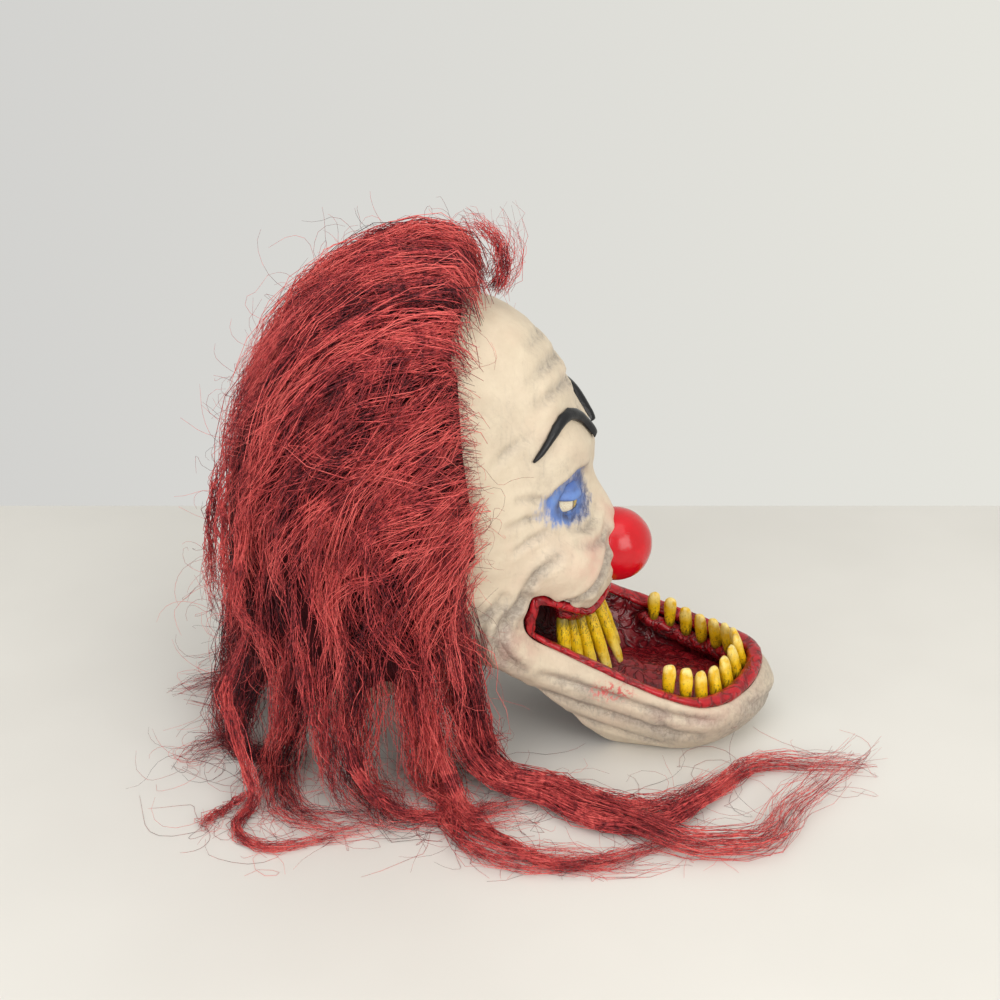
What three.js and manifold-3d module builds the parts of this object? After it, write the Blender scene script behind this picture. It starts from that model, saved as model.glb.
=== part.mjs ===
// An overhead clown mask of moulded latex with long hair, standing on its lower jaw and the nape of its neck.
// Millimetres. The mask faces -Y with +Z up, and its right side is at -X. Heights are above the table.
import * as THREE from "three";
import { mergeVertices } from "three/addons/utils/BufferGeometryUtils.js";
import Module from "manifold-3d";

// Head, measured from the plane through the ears
const FACE_REACH = 80;
const HEAD_BACK = 166;
const HALF_WIDTH = 96;
const CROWN_HEIGHT = 350;

// Lower jaw
const JAW_REACH = 212;
const JAW_EDGE_HEIGHT = 53;
const THROAT_HEIGHT = 84;
const THROAT_REACH = 6;

// Walls and clearances
const WALL = 2.6;
const LINING_WALL = 2;
const LINING_SETBACK = 2.6;
const LINING_INSET = 1.9;
const GAP = 0.35;

// Mouth
const LIP_WIDTH = 12;
const LIP_RISE = 9;
const UPPER_LIP_WIDTH = 6;
const UPPER_LIP_RISE = 4.5;
const LIP_PROUD = 2.2;
const LIP_GAP = 0.6;
const CORNER_CLEARANCE = 3.4;
const LIP_CORNER_SHARE = 0.35;
const LIP_SIDES = 6;
const BASIN_DEPTH = 34;
const PALATE_RISE = 12;
const LINING_RUN = 1.5;
const LINING_SWELL = 0.6;
const TONGUE_HEIGHT = 7.5;
const TONGUE_EDGE = 1.5;
const TONGUE_REACH = 5;
const GUM_DEPTH_SHARE = 0.6;
const GUM_RADIUS = 6.5;
const GUM_TIP_SHARE = 0.5;
const GUM_SIDES = 6;
const UPPER_GUM_DROP = 9.8;
const LOWER_GUM_INSET = 4;
const UPPER_GUM_INSET = 7;
const LOWER_GUM_TALL = 1.1;
const UPPER_GUM_TALL = 1.3;

// Teeth. The rows run between two shares of the gum's length, and lean is outwards for each unit along.
const TOOTH_THICKNESS = 10;
const TOOTH_SQUARENESS = 0.75;
const TOOTH_SIDES = 8;
const LEAN_FADE = 0.9;
const SHORTEN_CURVE = 1.6;
const SEAT_TRAVEL = 16;
const SEAT_TRIES = 12;
const LOWER_TEETH = {
  count: 14, length: 27, shorten: 0.25, spacing: 4.3, from: 0.03, until: 0.97, lean: -0.28,
};
const UPPER_TEETH = {
  count: 10, length: 62, shorten: 0.6, spacing: 1.2, from: 0.02, until: 0.98, lean: 0.42,
};

// Nose, eyes and brows
const NOSE_RADIUS = 28;
const NOSE_HEIGHT = 152;
const NOSE_PROUD = 24;
const EYE_RADIUS = 14;
const EYE_HEIGHT = 206;
const EYE_PROUD = 9;
const EYE_APART = 35;
const BROW_INNER = 13;
const BROW_OUTER = 64;
const BROW_HEIGHT = 246;
const BROW_ARCH = 24;
const BROW_RADIUS = 5.2;
const BROW_SINK = 0.35;
const BROW_TIP_SHARE = 0.3;
const BROW_SWELL = 0.75;
const BROW_LEAN = 0.85;
const BROW_PLACES = [0, 0.15, 0.35, 0.55, 0.75, 0.9, 1];

// Hair
const HAIR_HALF_WIDTH = 124;
const HAIR_BACK = 200;
const HAIR_TOP = 389;
const HAIR_GAP = 0.5;
const LOCK_RADIUS = 13;

const COLUMNS = [5, 6, 3, 2, 3];
const GUM_SKIPS = { lower: 4, upper: 3 };
const BALL_SIDES = { nose: [18, 10], eye: [14, 9] };
const CORNER_COLUMN = COLUMNS[0] + COLUMNS[1];
const HALF_COLUMNS = COLUMNS.reduce((sum, count) => sum + count, 0);
const AROUND = 2 * HALF_COLUMNS;
const REAR_ALONG = 0.7;
const REAR_ACROSS = 0.75;
const REAR_FALL = 0.62;

// One row for each ring of the skin, from the neck's rim to the crown. Each place is forward, sideways and
// up. In the jaw's rows, front and flank are shares of JAW_REACH, HALF_WIDTH and JAW_EDGE_HEIGHT. Every
// other place is a share of FACE_REACH or, behind the ears, HEAD_BACK, of HALF_WIDTH and of CROWN_HEIGHT.
const RINGS = [
  { zone: "jaw", steps: 2, front: [0.434, 0, 0], flank: [0.396, 0.458, 0.05],
    corner: [0.375, 0.667, 0.171], side: [-0.15, 0.79, 0.269], back: [-0.9, 0, 0] },
  { zone: "jaw", steps: 2, front: [0.708, 0, 0], flank: [0.557, 0.52, 0.02],
    corner: [0.5, 0.7, 0.177], side: [-0.155, 0.844, 0.291], back: [-0.94, 0, 0.063] },
  { zone: "jaw", steps: 1, front: [0.877, 0, 0.06], flank: [0.67, 0.604, 0.113],
    corner: [0.575, 0.729, 0.194], side: [-0.16, 0.885, 0.314], back: [-0.965, 0, 0.109] },
  { zone: "jaw", steps: 1, front: [0.965, 0, 0.28], flank: [0.726, 0.698, 0.36],
    corner: [0.6, 0.74, 0.214], side: [-0.165, 0.917, 0.334], back: [-0.978, 0, 0.154] },
  { zone: "jaw", steps: 1, front: [1, 0, 0.6], flank: [0.745, 0.75, 0.62],
    corner: [0.563, 0.74, 0.24], side: [-0.165, 0.938, 0.357], back: [-0.985, 0, 0.2] },
  { zone: "jaw", steps: 1, front: [0.99, 0, 0.84], flank: [0.736, 0.76, 0.82],
    corner: [0.45, 0.729, 0.271], side: [-0.165, 0.958, 0.38], back: [-0.99, 0, 0.24] },
  { zone: "jaw", steps: 2, front: [0.967, 0, 1], flank: [0.703, 0.75, 0.96],
    corner: [0.275, 0.698, 0.309], side: [-0.165, 0.969, 0.403], back: [-0.99, 0, 0.28] },
  { zone: "face", steps: 2, front: [1.6, 0, 0.25], flank: [1.3, 0.6, 0.24],
    corner: [0.175, 0.729, 0.371], side: [-0.165, 0.98, 0.431], back: [-0.995, 0, 0.326] },
  { zone: "face", steps: 2, front: [0.988, 0, 0.349], flank: [0.775, 0.458, 0.337],
    corner: [0.25, 0.698, 0.429], side: [-0.17, 0.99, 0.463], back: [-1, 0, 0.377] },
  { zone: "face", steps: 2, front: [0.963, 0, 0.406], flank: [0.75, 0.49, 0.42],
    corner: [0.275, 0.77, 0.486], side: [-0.175, 1, 0.511], back: [-1, 0, 0.434] },
  { zone: "face", steps: 2, front: [0.9, 0, 0.48], flank: [0.7, 0.49, 0.491],
    corner: [0.25, 0.8, 0.551], side: [-0.185, 1, 0.569], back: [-1, 0, 0.503] },
  { zone: "face", steps: 2, front: [0.8, 0, 0.563], flank: [0.625, 0.469, 0.574],
    corner: [0.175, 0.813, 0.62], side: [-0.195, 1, 0.631], back: [-1, 0, 0.583] },
  { zone: "face", steps: 2, front: [0.738, 0, 0.654], flank: [0.588, 0.448, 0.663],
    corner: [0.125, 0.79, 0.694], side: [-0.205, 0.98, 0.7], back: [-0.99, 0, 0.669] },
  { zone: "face", steps: 1, front: [0.663, 0, 0.749], flank: [0.513, 0.427, 0.757],
    corner: [0.063, 0.729, 0.771], side: [-0.225, 0.938, 0.777], back: [-0.945, 0, 0.754] },
  { zone: "face", steps: 1, front: [0.55, 0, 0.843], flank: [0.4, 0.396, 0.849],
    corner: [-0.02, 0.635, 0.854], side: [-0.25, 0.833, 0.857], back: [-0.86, 0, 0.843] },
  { zone: "face", steps: 1, front: [0.338, 0, 0.923], flank: [0.175, 0.333, 0.926],
    corner: [-0.085, 0.5, 0.931], side: [-0.27, 0.646, 0.934], back: [-0.735, 0, 0.917] },
  { zone: "face", steps: 1, front: [-0.02, 0, 0.98], flank: [-0.06, 0.208, 0.982],
    corner: [-0.17, 0.313, 0.985], side: [-0.3, 0.396, 0.985], back: [-0.55, 0, 0.972] },
];
const CROWN = [-0.3, 0, 1];
const EDGE_RINGS = { lower: 6, upper: 8 };

// Swellings and hollows of the face. Places and spreads are shares of FACE_REACH, HALF_WIDTH and
// CROWN_HEIGHT, rise is outwards, a share of HALF_WIDTH, and a paired one stands on both sides.
const SWELLINGS = [
  { name: "brow_ridge", paired: true, place: [0.68, 0.34, 0.685], spread: [0.3, 0.26, 0.042], rise: 0.135 },
  { name: "eye_socket", paired: true, place: [0.62, 0.37, 0.59], spread: [0.3, 0.17, 0.034], rise: -0.135 },
  { name: "cheek", paired: true, place: [0.62, 0.56, 0.465], spread: [0.4, 0.24, 0.058], rise: 0.156 },
  { name: "lip_overhang", paired: true, place: [0.8, 0.32, 0.375], spread: [0.3, 0.3, 0.026], rise: 0.073 },
  { name: "temple", paired: true, place: [0, 0.84, 0.72], spread: [0.35, 0.3, 0.08], rise: -0.062 },
  { name: "mouth_corner", paired: true, place: [0.05, 0.8, 0.36], spread: [0.16, 0.2, 0.07], rise: 0.073 },
  { name: "nose_bridge", paired: false, place: [0.85, 0, 0.52], spread: [0.4, 0.16, 0.065], rise: 0.156 },
  { name: "nose_seat", paired: false, place: [0.95, 0, 0.432], spread: [0.4, 0.22, 0.045], rise: 0.083 },
  { name: "chin", paired: false, place: [2.6, 0, 0.085], spread: [0.3, 0.3, 0.045], rise: 0.052 },
];

// Hair's outer form at each height. Widths are shares of HAIR_HALF_WIDTH, front and back of HAIR_BACK, and up
// of HAIR_TOP; middle is where the form is widest.
const HAIR_RINGS = [
  { up: 0.1, front: -0.3, middle: -0.52, back: -0.96, width: 0.74 },
  { up: 0.19, front: -0.22, middle: -0.48, back: -1, width: 0.86 },
  { up: 0.28, front: -0.14, middle: -0.45, back: -1.03, width: 0.96 },
  { up: 0.37, front: -0.04, middle: -0.42, back: -1.03, width: 1 },
  { up: 0.46, front: 0.02, middle: -0.4, back: -1.02, width: 1.02 },
  { up: 0.55, front: 0.04, middle: -0.4, back: -1, width: 1.02 },
  { up: 0.64, front: 0.02, middle: -0.4, back: -0.96, width: 1 },
  { up: 0.73, front: 0, middle: -0.4, back: -0.9, width: 0.94 },
  { up: 0.81, front: -0.01, middle: -0.39, back: -0.8, width: 0.84 },
  { up: 0.89, front: -0.01, middle: -0.36, back: -0.68, width: 0.68 },
  { up: 0.95, front: 0, middle: -0.3, back: -0.53, width: 0.47 },
  { up: 0.985, front: -0.04, middle: -0.25, back: -0.4, width: 0.26 },
];
const HAIR_SIDES = 33;
const HAIR_FURROWS = 11;
const HAIR_FURROW_DEPTH = 0.065;
const HAIR_TWIST = 9;
const HAIR_FRONT_ROUNDNESS = 0.8;
const HAIR_BACK_ROUNDNESS = 0.92;

// Locks that leave the hair, fall to the table and lie on it. Root, landing and end are forward and sideways,
// in shares of HAIR_BACK and HAIR_HALF_WIDTH; from is the root's height as a share of HAIR_TOP. bow pushes
// the lying stretch sideways by a share of HAIR_HALF_WIDTH, wave sways it, and girth is a share of LOCK_RADIUS.
const LOCKS = [
  { root: [-0.2, -0.8], from: 0.42, landing: [-0.06, -0.72],
    end: [1.44, -0.6], bow: -0.62, wave: 0.2, girth: 1.5 },
  { root: [-0.35, -0.85], from: 0.36, landing: [-0.2, -0.8],
    end: [0.66, -1.4], bow: -0.5, wave: -0.05, girth: 1.1 },
  { root: [-0.3, -0.84], from: 0.3, landing: [-0.26, -0.85],
    end: [0.1, -1.2], bow: -0.1, wave: 0.06, girth: 1.3 },
  { root: [-0.5, -0.84], from: 0.34, landing: [-0.5, -0.88],
    end: [-0.15, -1.2], bow: -0.1, wave: 0.06, girth: 1.4 },
  { root: [-0.7, -0.72], from: 0.34, landing: [-0.82, -0.62],
    end: [-0.35, -1.15], bow: -0.3, wave: 0.04, girth: 1.1 },
  { root: [-0.85, -0.5], from: 0.34, landing: [-1, -0.45],
    end: [-0.9, -1.1], bow: 0.14, wave: 0.06, girth: 0.75 },
  { root: [-0.94, -0.22], from: 0.36, landing: [-1.08, -0.2],
    end: [-1.22, -0.6], bow: 0.1, wave: 0.08, girth: 0.8 },
  { root: [-0.97, 0.08], from: 0.34, landing: [-1.05, 0.1],
    end: [-1.3, 0.3], bow: -0.1, wave: 0.08, girth: 1.1 },
  { root: [-0.9, 0.4], from: 0.34, landing: [-0.98, 0.46],
    end: [-1.15, 0.85], bow: 0.1, wave: 0.08, girth: 1.1 },
  { root: [-0.72, 0.7], from: 0.34, landing: [-0.78, 0.8],
    end: [-0.8, 1.3], bow: 0.12, wave: 0.08, girth: 1.2 },
  { root: [-0.5, 0.83], from: 0.34, landing: [-0.52, 0.9],
    end: [-0.35, 1.35], bow: 0.1, wave: 0.08, girth: 1.3 },
  { root: [-0.3, 0.84], from: 0.34, landing: [-0.24, 0.9],
    end: [0.3, 1.3], bow: 0.2, wave: 0.1, girth: 1.2 },
];
const LOCK_SIDES = 5;
const LOCK_STEP = 36;
const LOCK_TIP_SHARE = 0.3;
const LOCK_FLATTEN = 0.75;
const LOCK_TAPER = 2.2;
const LOCK_FALL = 0.6;
const LOCK_FALL_HEIGHT = 0.4;
const LOCK_FALL_CLEARANCE = 2.2;
const LOCK_WAVES = 1.3;
const LOCK_BOW_LEAN = 0.8;
const LOCK_PLACES = [0, 0.2, 0.4, 0.6, 0.8, 1];
const TUFT = {
  root: [0.02, -0.02], from: 0.9, tip: [-0.13, -0.05], top: 1.035, girth: 0.55, crest: [4, 0, 6],
  tipShare: 0.25, steps: 4,
};

const skinColour = { color: 0xe6ddcc, roughness: 0.55, metalness: 0 };
const lipColour = { color: 0xb3121b, roughness: 0.25, metalness: 0 };
const mouthColour = { color: 0x5a0d12, roughness: 0.3, metalness: 0 };
const gumColour = { color: 0x9b1118, roughness: 0.25, metalness: 0 };
const toothColour = { color: 0xe3c21c, roughness: 0.35, metalness: 0 };
const noseColour = { color: 0xd2141c, roughness: 0.2, metalness: 0 };
const browColour = { color: 0x101012, roughness: 0.2, metalness: 0 };
const eyeColour = { color: 0x8a7436, roughness: 0.2, metalness: 0 };
const hairColour = { color: 0x7a1620, roughness: 0.7, metalness: 0 };

const wasm = await Module();
wasm.setup();

const at = (forward, sideways, up) => new THREE.Vector3(sideways, -forward, up);
const mirrored = (point) => new THREE.Vector3(-point.x, point.y, point.z);

function named(name, geometry, finish) {
  const mesh = new THREE.Mesh(geometry, new THREE.MeshStandardMaterial(finish));
  mesh.name = name;
  return mesh;
}

// A body from points and faces of three or four corners each
function bodyOf(points, faces) {
  const geometry = new THREE.BufferGeometry();
  const places = points.flatMap((point) => point.toArray());
  geometry.setAttribute("position", new THREE.Float32BufferAttribute(places, 3));
  geometry.setIndex(faces.flatMap((f) => (f.length === 4 ? [f[0], f[1], f[2], f[0], f[2], f[3]] : f)));
  return geometry;
}

function toSolid(geometry) {
  const bare = geometry.clone();
  bare.deleteAttribute("normal");
  bare.deleteAttribute("uv");
  const merged = mergeVertices(bare, 1e-4);
  return new wasm.Manifold(new wasm.Mesh({
    numProp: 3,
    vertProperties: Float32Array.from(merged.attributes.position.array),
    triVerts: Uint32Array.from(merged.index.array),
  }));
}

function fromSolid(solid) {
  const mesh = solid.getMesh();
  const geometry = new THREE.BufferGeometry();
  geometry.setAttribute("position", new THREE.Float32BufferAttribute(mesh.vertProperties, 3));
  geometry.setIndex(Array.from(mesh.triVerts));
  return geometry;
}

// Outward directions at the points of an open surface
function directionsOf(points, faces) {
  const directions = points.map(() => new THREE.Vector3());
  for (const face of faces) {
    const [a, b, c] = face.length === 4
      ? [points[face[0]].clone().sub(points[face[2]]), points[face[1]].clone().sub(points[face[3]]), null]
      : [points[face[1]].clone().sub(points[face[0]]), points[face[2]].clone().sub(points[face[0]]), null];
    const normal = a.cross(b);
    for (const corner of face) directions[corner].add(normal);
  }
  return directions.map((direction) => direction.normalize());
}

// A wall: the outer surface, an inner one set back by the thickness, and a strip along each open edge
function wallOf(points, faces, thickness) {
  const directions = directionsOf(points, faces);
  const used = new Set(faces.flat());
  const index = new Map([...used].map((corner, order) => [corner, order]));
  const outer = [...used].map((corner) => points[corner]);
  const inner = [...used].map((corner) =>
    points[corner].clone().addScaledVector(directions[corner], -thickness));
  const count = outer.length;
  const shell = [];
  const edges = new Map();
  for (const face of faces) {
    const corners = face.map((corner) => index.get(corner));
    shell.push(corners);
    shell.push(corners.map((corner) => corner + count).reverse());
    corners.forEach((corner, order) => {
      const next = corners[(order + 1) % corners.length];
      edges.set(`${corner},${next}`, [corner, next]);
    });
  }
  for (const [from, to] of edges.values()) {
    if (!edges.has(`${to},${from}`)) shell.push([to, from, from + count, to + count]);
  }
  return bodyOf([...outer, ...inner], shell);
}

const between = (a, b, c, d, share) => {
  const square = share * share;
  return 0.5 * (2 * b + (c - a) * share + (2 * a - 5 * b + 4 * c - d) * square
    + (3 * b - a - 3 * c + d) * square * share);
};

function pointBetween(a, b, c, d, share) {
  return new THREE.Vector3(
    between(a.x, b.x, c.x, d.x, share),
    between(a.y, b.y, c.y, d.y, share),
    between(a.z, b.z, c.z, d.z, share),
  );
}

// The five named places of a ring, and the rear quarter worked out from the last two
function stationsOf(ring) {
  const onJaw = ring.zone === "jaw";
  const head = ([forward, sideways, up]) =>
    at(forward * (forward < 0 ? HEAD_BACK : FACE_REACH), sideways * HALF_WIDTH, up * CROWN_HEIGHT);
  const jaw = ([forward, sideways, up]) =>
    at(forward * JAW_REACH, sideways * HALF_WIDTH, up * JAW_EDGE_HEIGHT);
  const front = onJaw ? jaw(ring.front) : head(ring.front);
  const flank = onJaw ? jaw(ring.flank) : head(ring.flank);
  const side = head(ring.side);
  const back = head(ring.back);
  const rear = new THREE.Vector3(
    side.x * REAR_ACROSS,
    side.y + (back.y - side.y) * REAR_ALONG,
    side.z + (back.z - side.z) * REAR_FALL,
  );
  return [front, flank, head(ring.corner), side, rear, back];
}

function ringPoints(stations) {
  const last = stations.length - 1;
  const place = (order) => {
    if (order < 0) return mirrored(stations[-order]);
    return order > last ? mirrored(stations[2 * last - order]) : stations[order];
  };
  const half = [];
  COLUMNS.forEach((count, segment) => {
    for (let step = 0; step < count; step += 1) {
      const [before, here, next, after] = [-1, 0, 1, 2].map((offset) => place(segment + offset));
      half.push(pointBetween(before, here, next, after, step / count));
    }
  });
  half.push(stations[last].clone());
  const otherHalf = half.slice(1, -1).reverse().map(mirrored);
  return [...half, ...otherHalf];
}

function skinRings() {
  const table = RINGS.map(stationsOf);
  const rings = [];
  let lowerEdge = 0;
  let upperEdge = 0;
  RINGS.forEach((ring, order) => {
    if (order === EDGE_RINGS.lower) lowerEdge = rings.length;
    if (order === EDGE_RINGS.upper) upperEdge = rings.length;
    const pick = (row) => table[Math.max(0, Math.min(table.length - 1, row))];
    const steps = order === RINGS.length - 1 ? 1 : ring.steps;
    for (let step = 0; step < steps; step += 1) {
      const stations = table[order].map((point, place) => pointBetween(
        pick(order - 1)[place], point, pick(order + 1)[place], pick(order + 2)[place], step / steps,
      ));
      rings.push(ringPoints(stations));
    }
  });
  return { rings, lowerEdge, upperEdge };
}

// The skin's outer surface, with its swellings
function skinSurface(rings) {
  const points = [...rings.flat(), at(CROWN[0] * HEAD_BACK, CROWN[1], CROWN[2] * CROWN_HEIGHT)];
  const crown = points.length - 1;
  const faces = [];
  for (let row = 0; row < rings.length; row += 1) {
    for (let column = 0; column < AROUND; column += 1) {
      const next = (column + 1) % AROUND;
      const low = row * AROUND;
      const high = low + AROUND;
      faces.push(row + 1 < rings.length
        ? { row, column, corners: [low + column, low + next, high + next, high + column] }
        : { row, column, corners: [low + column, low + next, crown] });
    }
  }
  const directions = directionsOf(points, faces.map((face) => face.corners));
  const shaped = points.map((point, order) => {
    let rise = 0;
    for (const swelling of SWELLINGS) {
      for (const hand of swelling.paired ? [-1, 1] : [1]) {
        const [ahead, aside, height] = swelling.place;
        const forward = (-point.y / FACE_REACH - ahead) / swelling.spread[0];
        const sideways = (point.x / HALF_WIDTH - hand * aside) / swelling.spread[1];
        const up = (point.z / CROWN_HEIGHT - height) / swelling.spread[2];
        rise += swelling.rise * HALF_WIDTH * Math.exp(-0.5 * (forward ** 2 + sideways ** 2 + up ** 2));
      }
    }
    const moved = point.clone().addScaledVector(directions[order], rise);
    moved.z = Math.max(0, moved.z);
    return moved;
  });
  return { points: shaped, faces };
}

const { rings, lowerEdge, upperEdge } = skinRings();
const skin = skinSurface(rings);
const isMouth = ({ row, column }) => {
  const side = column < HALF_COLUMNS ? column : AROUND - 1 - column;
  return row >= lowerEdge && row < upperEdge && side < CORNER_COLUMN;
};
const skinFaces = skin.faces.filter((face) => !isMouth(face)).map((face) => face.corners);
const skinDirections = directionsOf(skin.points, skinFaces);
const skinPoint = (row, column) => row * AROUND + ((column % AROUND) + AROUND) % AROUND;

// The head as a closed body, grown by a clearance, that seats whatever lies against the skin
const headDirections = directionsOf(skin.points, skin.faces.map((face) => face.corners));
function headBody(clearance) {
  const base = skin.points.length;
  const floor = at(0, 0, -WALL);
  const grown = skin.points.map((point, order) =>
    point.clone().addScaledVector(headDirections[order], clearance));
  const lowest = grown.slice(0, AROUND).map((point) => new THREE.Vector3(point.x, point.y, floor.z));
  const faces = skin.faces.map((face) => face.corners);
  for (let column = 0; column < AROUND; column += 1) {
    const next = (column + 1) % AROUND;
    faces.push([base + column, base + next, next, column]);
    faces.push([base + next, base + column, base + AROUND]);
  }
  return toSolid(bodyOf([...grown, ...lowest, floor], faces));
}
const seat = headBody(GAP);
const hairSeat = headBody(HAIR_GAP);

// The mouth's edge as one loop: along the lower lip to the left corner, up, back along the upper lip and down
function mouthLoop() {
  const loop = [];
  const add = (row, column, towards, low) => {
    const point = skin.points[skinPoint(row, column)];
    const out = skinDirections[skinPoint(row, column)];
    loop.push({ point, out, into: point.clone().sub(skin.points[towards]).normalize(), low });
  };
  const reach = (column) => Math.cos((Math.PI / 2) * (Math.abs(column) / CORNER_COLUMN));
  for (let column = -CORNER_COLUMN; column <= CORNER_COLUMN; column += 1) {
    add(lowerEdge, column, skinPoint(lowerEdge - 1, column), Math.sqrt(reach(column)));
  }
  for (let row = lowerEdge + 1; row < upperEdge; row += 1) {
    add(row, CORNER_COLUMN, skinPoint(row, CORNER_COLUMN + 1), 0);
  }
  for (let column = CORNER_COLUMN; column >= -CORNER_COLUMN; column -= 1) {
    add(upperEdge, column, skinPoint(upperEdge + 1, column), -Math.sqrt(reach(column)));
  }
  for (let row = upperEdge - 1; row > lowerEdge; row -= 1) {
    add(row, -CORNER_COLUMN, skinPoint(row, -CORNER_COLUMN - 1), 0);
  }
  const smooth = (values) => values.map((value, order) => {
    const before = values[(order + values.length - 1) % values.length];
    const after = values[(order + 1) % values.length];
    return value.clone().multiplyScalar(2).add(before).add(after).normalize();
  });
  const into = smooth(loop.map((entry) => entry.into));
  const out = smooth(loop.map((entry) => entry.out));
  return loop.map((entry, order) => {
    const square = into[order].clone().addScaledVector(out[order], -into[order].dot(out[order])).normalize();
    return { ...entry, into: square, out: out[order] };
  });
}
const mouth = mouthLoop();

// A closed ring of sections that follows the mouth's edge
function lipGeometry() {
  const sides = LIP_SIDES;
  const points = [];
  const faces = [];
  mouth.forEach(({ point, out, into, low }, order) => {
    const share = Math.max(0, LIP_CORNER_SHARE + (1 - LIP_CORNER_SHARE) * low);
    const halfWidth = (UPPER_LIP_WIDTH + (LIP_WIDTH - UPPER_LIP_WIDTH) * share) / 2;
    const halfRise = (UPPER_LIP_RISE + (LIP_RISE - UPPER_LIP_RISE) * share) / 2;
    const clearance = LIP_GAP + CORNER_CLEARANCE * (1 - Math.abs(low));
    const centre = point.clone().addScaledVector(into, clearance + halfRise)
      .addScaledVector(out, LIP_PROUD - halfWidth);
    for (let side = 0; side < sides; side += 1) {
      const turn = (2 * Math.PI * (side + 0.5)) / sides;
      points.push(centre.clone().addScaledVector(out, halfWidth * Math.cos(turn))
        .addScaledVector(into, halfRise * Math.sin(turn) / Math.cos(Math.PI / sides)));
      const nextSide = (side + 1) % sides;
      const here = order * sides;
      const there = ((order + 1) % mouth.length) * sides;
      faces.push([here + side, there + side, there + nextSide, here + nextSide]);
    }
  });
  return bodyOf(points, faces);
}

// The inside of the mouth: from its edge into the basin of the jaw, under the palate and back to the throat
const LINING_SHARES = [0, 0.08, 0.2, 0.38, 0.6, 0.82];
const throat = at(THROAT_REACH, 0, THROAT_HEIGHT);
function liningPoint(entry, share) {
  const start = entry.point.clone().addScaledVector(entry.out, -(WALL + LINING_INSET))
    .addScaledVector(entry.into, -(LINING_WALL + LINING_SETBACK * (2 - Math.abs(entry.low))));
  const along = share ** LINING_RUN;
  const swell = Math.sin(Math.PI * share) ** LINING_SWELL;
  const drop = entry.low > 0 ? -BASIN_DEPTH * entry.low : -PALATE_RISE * entry.low;
  const place = start.lerp(throat, along);
  place.z += drop * swell;
  return place;
}

function liningSurface() {
  const count = mouth.length;
  const points = LINING_SHARES.flatMap((share) => mouth.map((entry) => liningPoint(entry, share)));
  points.push(throat);
  const faces = [];
  LINING_SHARES.forEach((share, ring) => {
    for (let order = 0; order < count; order += 1) {
      const next = (order + 1) % count;
      const here = ring * count;
      faces.push(ring + 1 < LINING_SHARES.length
        ? [here + next, here + order, here + count + order, here + count + next]
        : [here + next, here + order, points.length - 1]);
    }
  });
  return { points, faces };
}
const lining = liningSurface();
const liningDirections = directionsOf(lining.points, lining.faces);
const liningInside = (ring, order, height) => {
  const corner = ring * mouth.length + order;
  return lining.points[corner].clone().addScaledVector(liningDirections[corner], -(LINING_WALL + height));
};

// A low mound on the floor of the jaw
function tongueGeometry() {
  const ringsUsed = [2, 3, 4, 5];
  const points = [];
  const faces = [];
  const width = 2 * TONGUE_REACH + 1;
  const base = ringsUsed.length * width;
  for (const level of [0, 1]) {
    ringsUsed.forEach((ring, row) => {
      for (let column = -TONGUE_REACH; column <= TONGUE_REACH; column += 1) {
        const across = Math.cos((Math.PI / 2) * (column / (TONGUE_REACH + 1)));
        const along = Math.sin((Math.PI * (row + 1)) / (ringsUsed.length + 1));
        const rise = GAP + level * (TONGUE_EDGE + TONGUE_HEIGHT * across * along);
        points.push(liningInside(ring, CORNER_COLUMN + column, rise));
      }
    });
  }
  const quad = (row, column) => [row * width + column, row * width + column + 1,
    (row + 1) * width + column + 1, (row + 1) * width + column];
  for (let row = 0; row + 1 < ringsUsed.length; row += 1) {
    for (let column = 0; column + 1 < width; column += 1) {
      faces.push(quad(row, column).reverse());
      faces.push(quad(row, column).map((corner) => corner + base));
    }
  }
  const edge = [];
  for (let column = 0; column < width; column += 1) edge.push(column);
  for (let row = 1; row < ringsUsed.length; row += 1) edge.push(row * width + width - 1);
  for (let column = width - 2; column >= 0; column -= 1) edge.push((ringsUsed.length - 1) * width + column);
  for (let row = ringsUsed.length - 2; row > 0; row -= 1) edge.push(row * width);
  edge.forEach((corner, order) => {
    const next = edge[(order + 1) % edge.length];
    faces.push([corner, next, next + base, corner + base]);
  });
  return bodyOf(points, faces);
}

// The arch that a gum follows inside the lining, each station with the lining's outward direction there
function gumArch(first, { inset, drop, skip }) {
  const stations = [];
  for (let order = first + skip; order <= first + 2 * CORNER_COLUMN - skip; order += 1) {
    const height = GUM_RADIUS + GAP;
    const centre = liningInside(0, order, height).lerp(liningInside(1, order, height), GUM_DEPTH_SHARE);
    centre.addScaledVector(mouth[order].out, -inset);
    centre.z -= drop;
    stations.push({ centre, out: liningDirections[mouth.length + order].clone() });
  }
  stations.forEach((station, order) => {
    const before = stations[Math.max(0, order - 1)].centre;
    const after = stations[Math.min(stations.length - 1, order + 1)].centre;
    station.rise = station.out.clone().cross(after.clone().sub(before).normalize()).normalize();
  });
  return stations;
}

// The faces of a body made of sections that lie one after another, closed at both ends
function sleeveFaces(sections, sides) {
  const faces = [];
  for (let order = 0; order + 1 < sections; order += 1) {
    for (let side = 0; side < sides; side += 1) {
      const nextSide = (side + 1) % sides;
      const here = order * sides;
      const there = here + sides;
      faces.push([here + nextSide, here + side, there + side, there + nextSide]);
    }
  }
  const last = (sections - 1) * sides;
  for (let side = 1; side + 1 < sides; side += 1) {
    faces.push([0, side, side + 1]);
    faces.push([last, last + side + 1, last + side]);
  }
  return faces;
}

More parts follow.
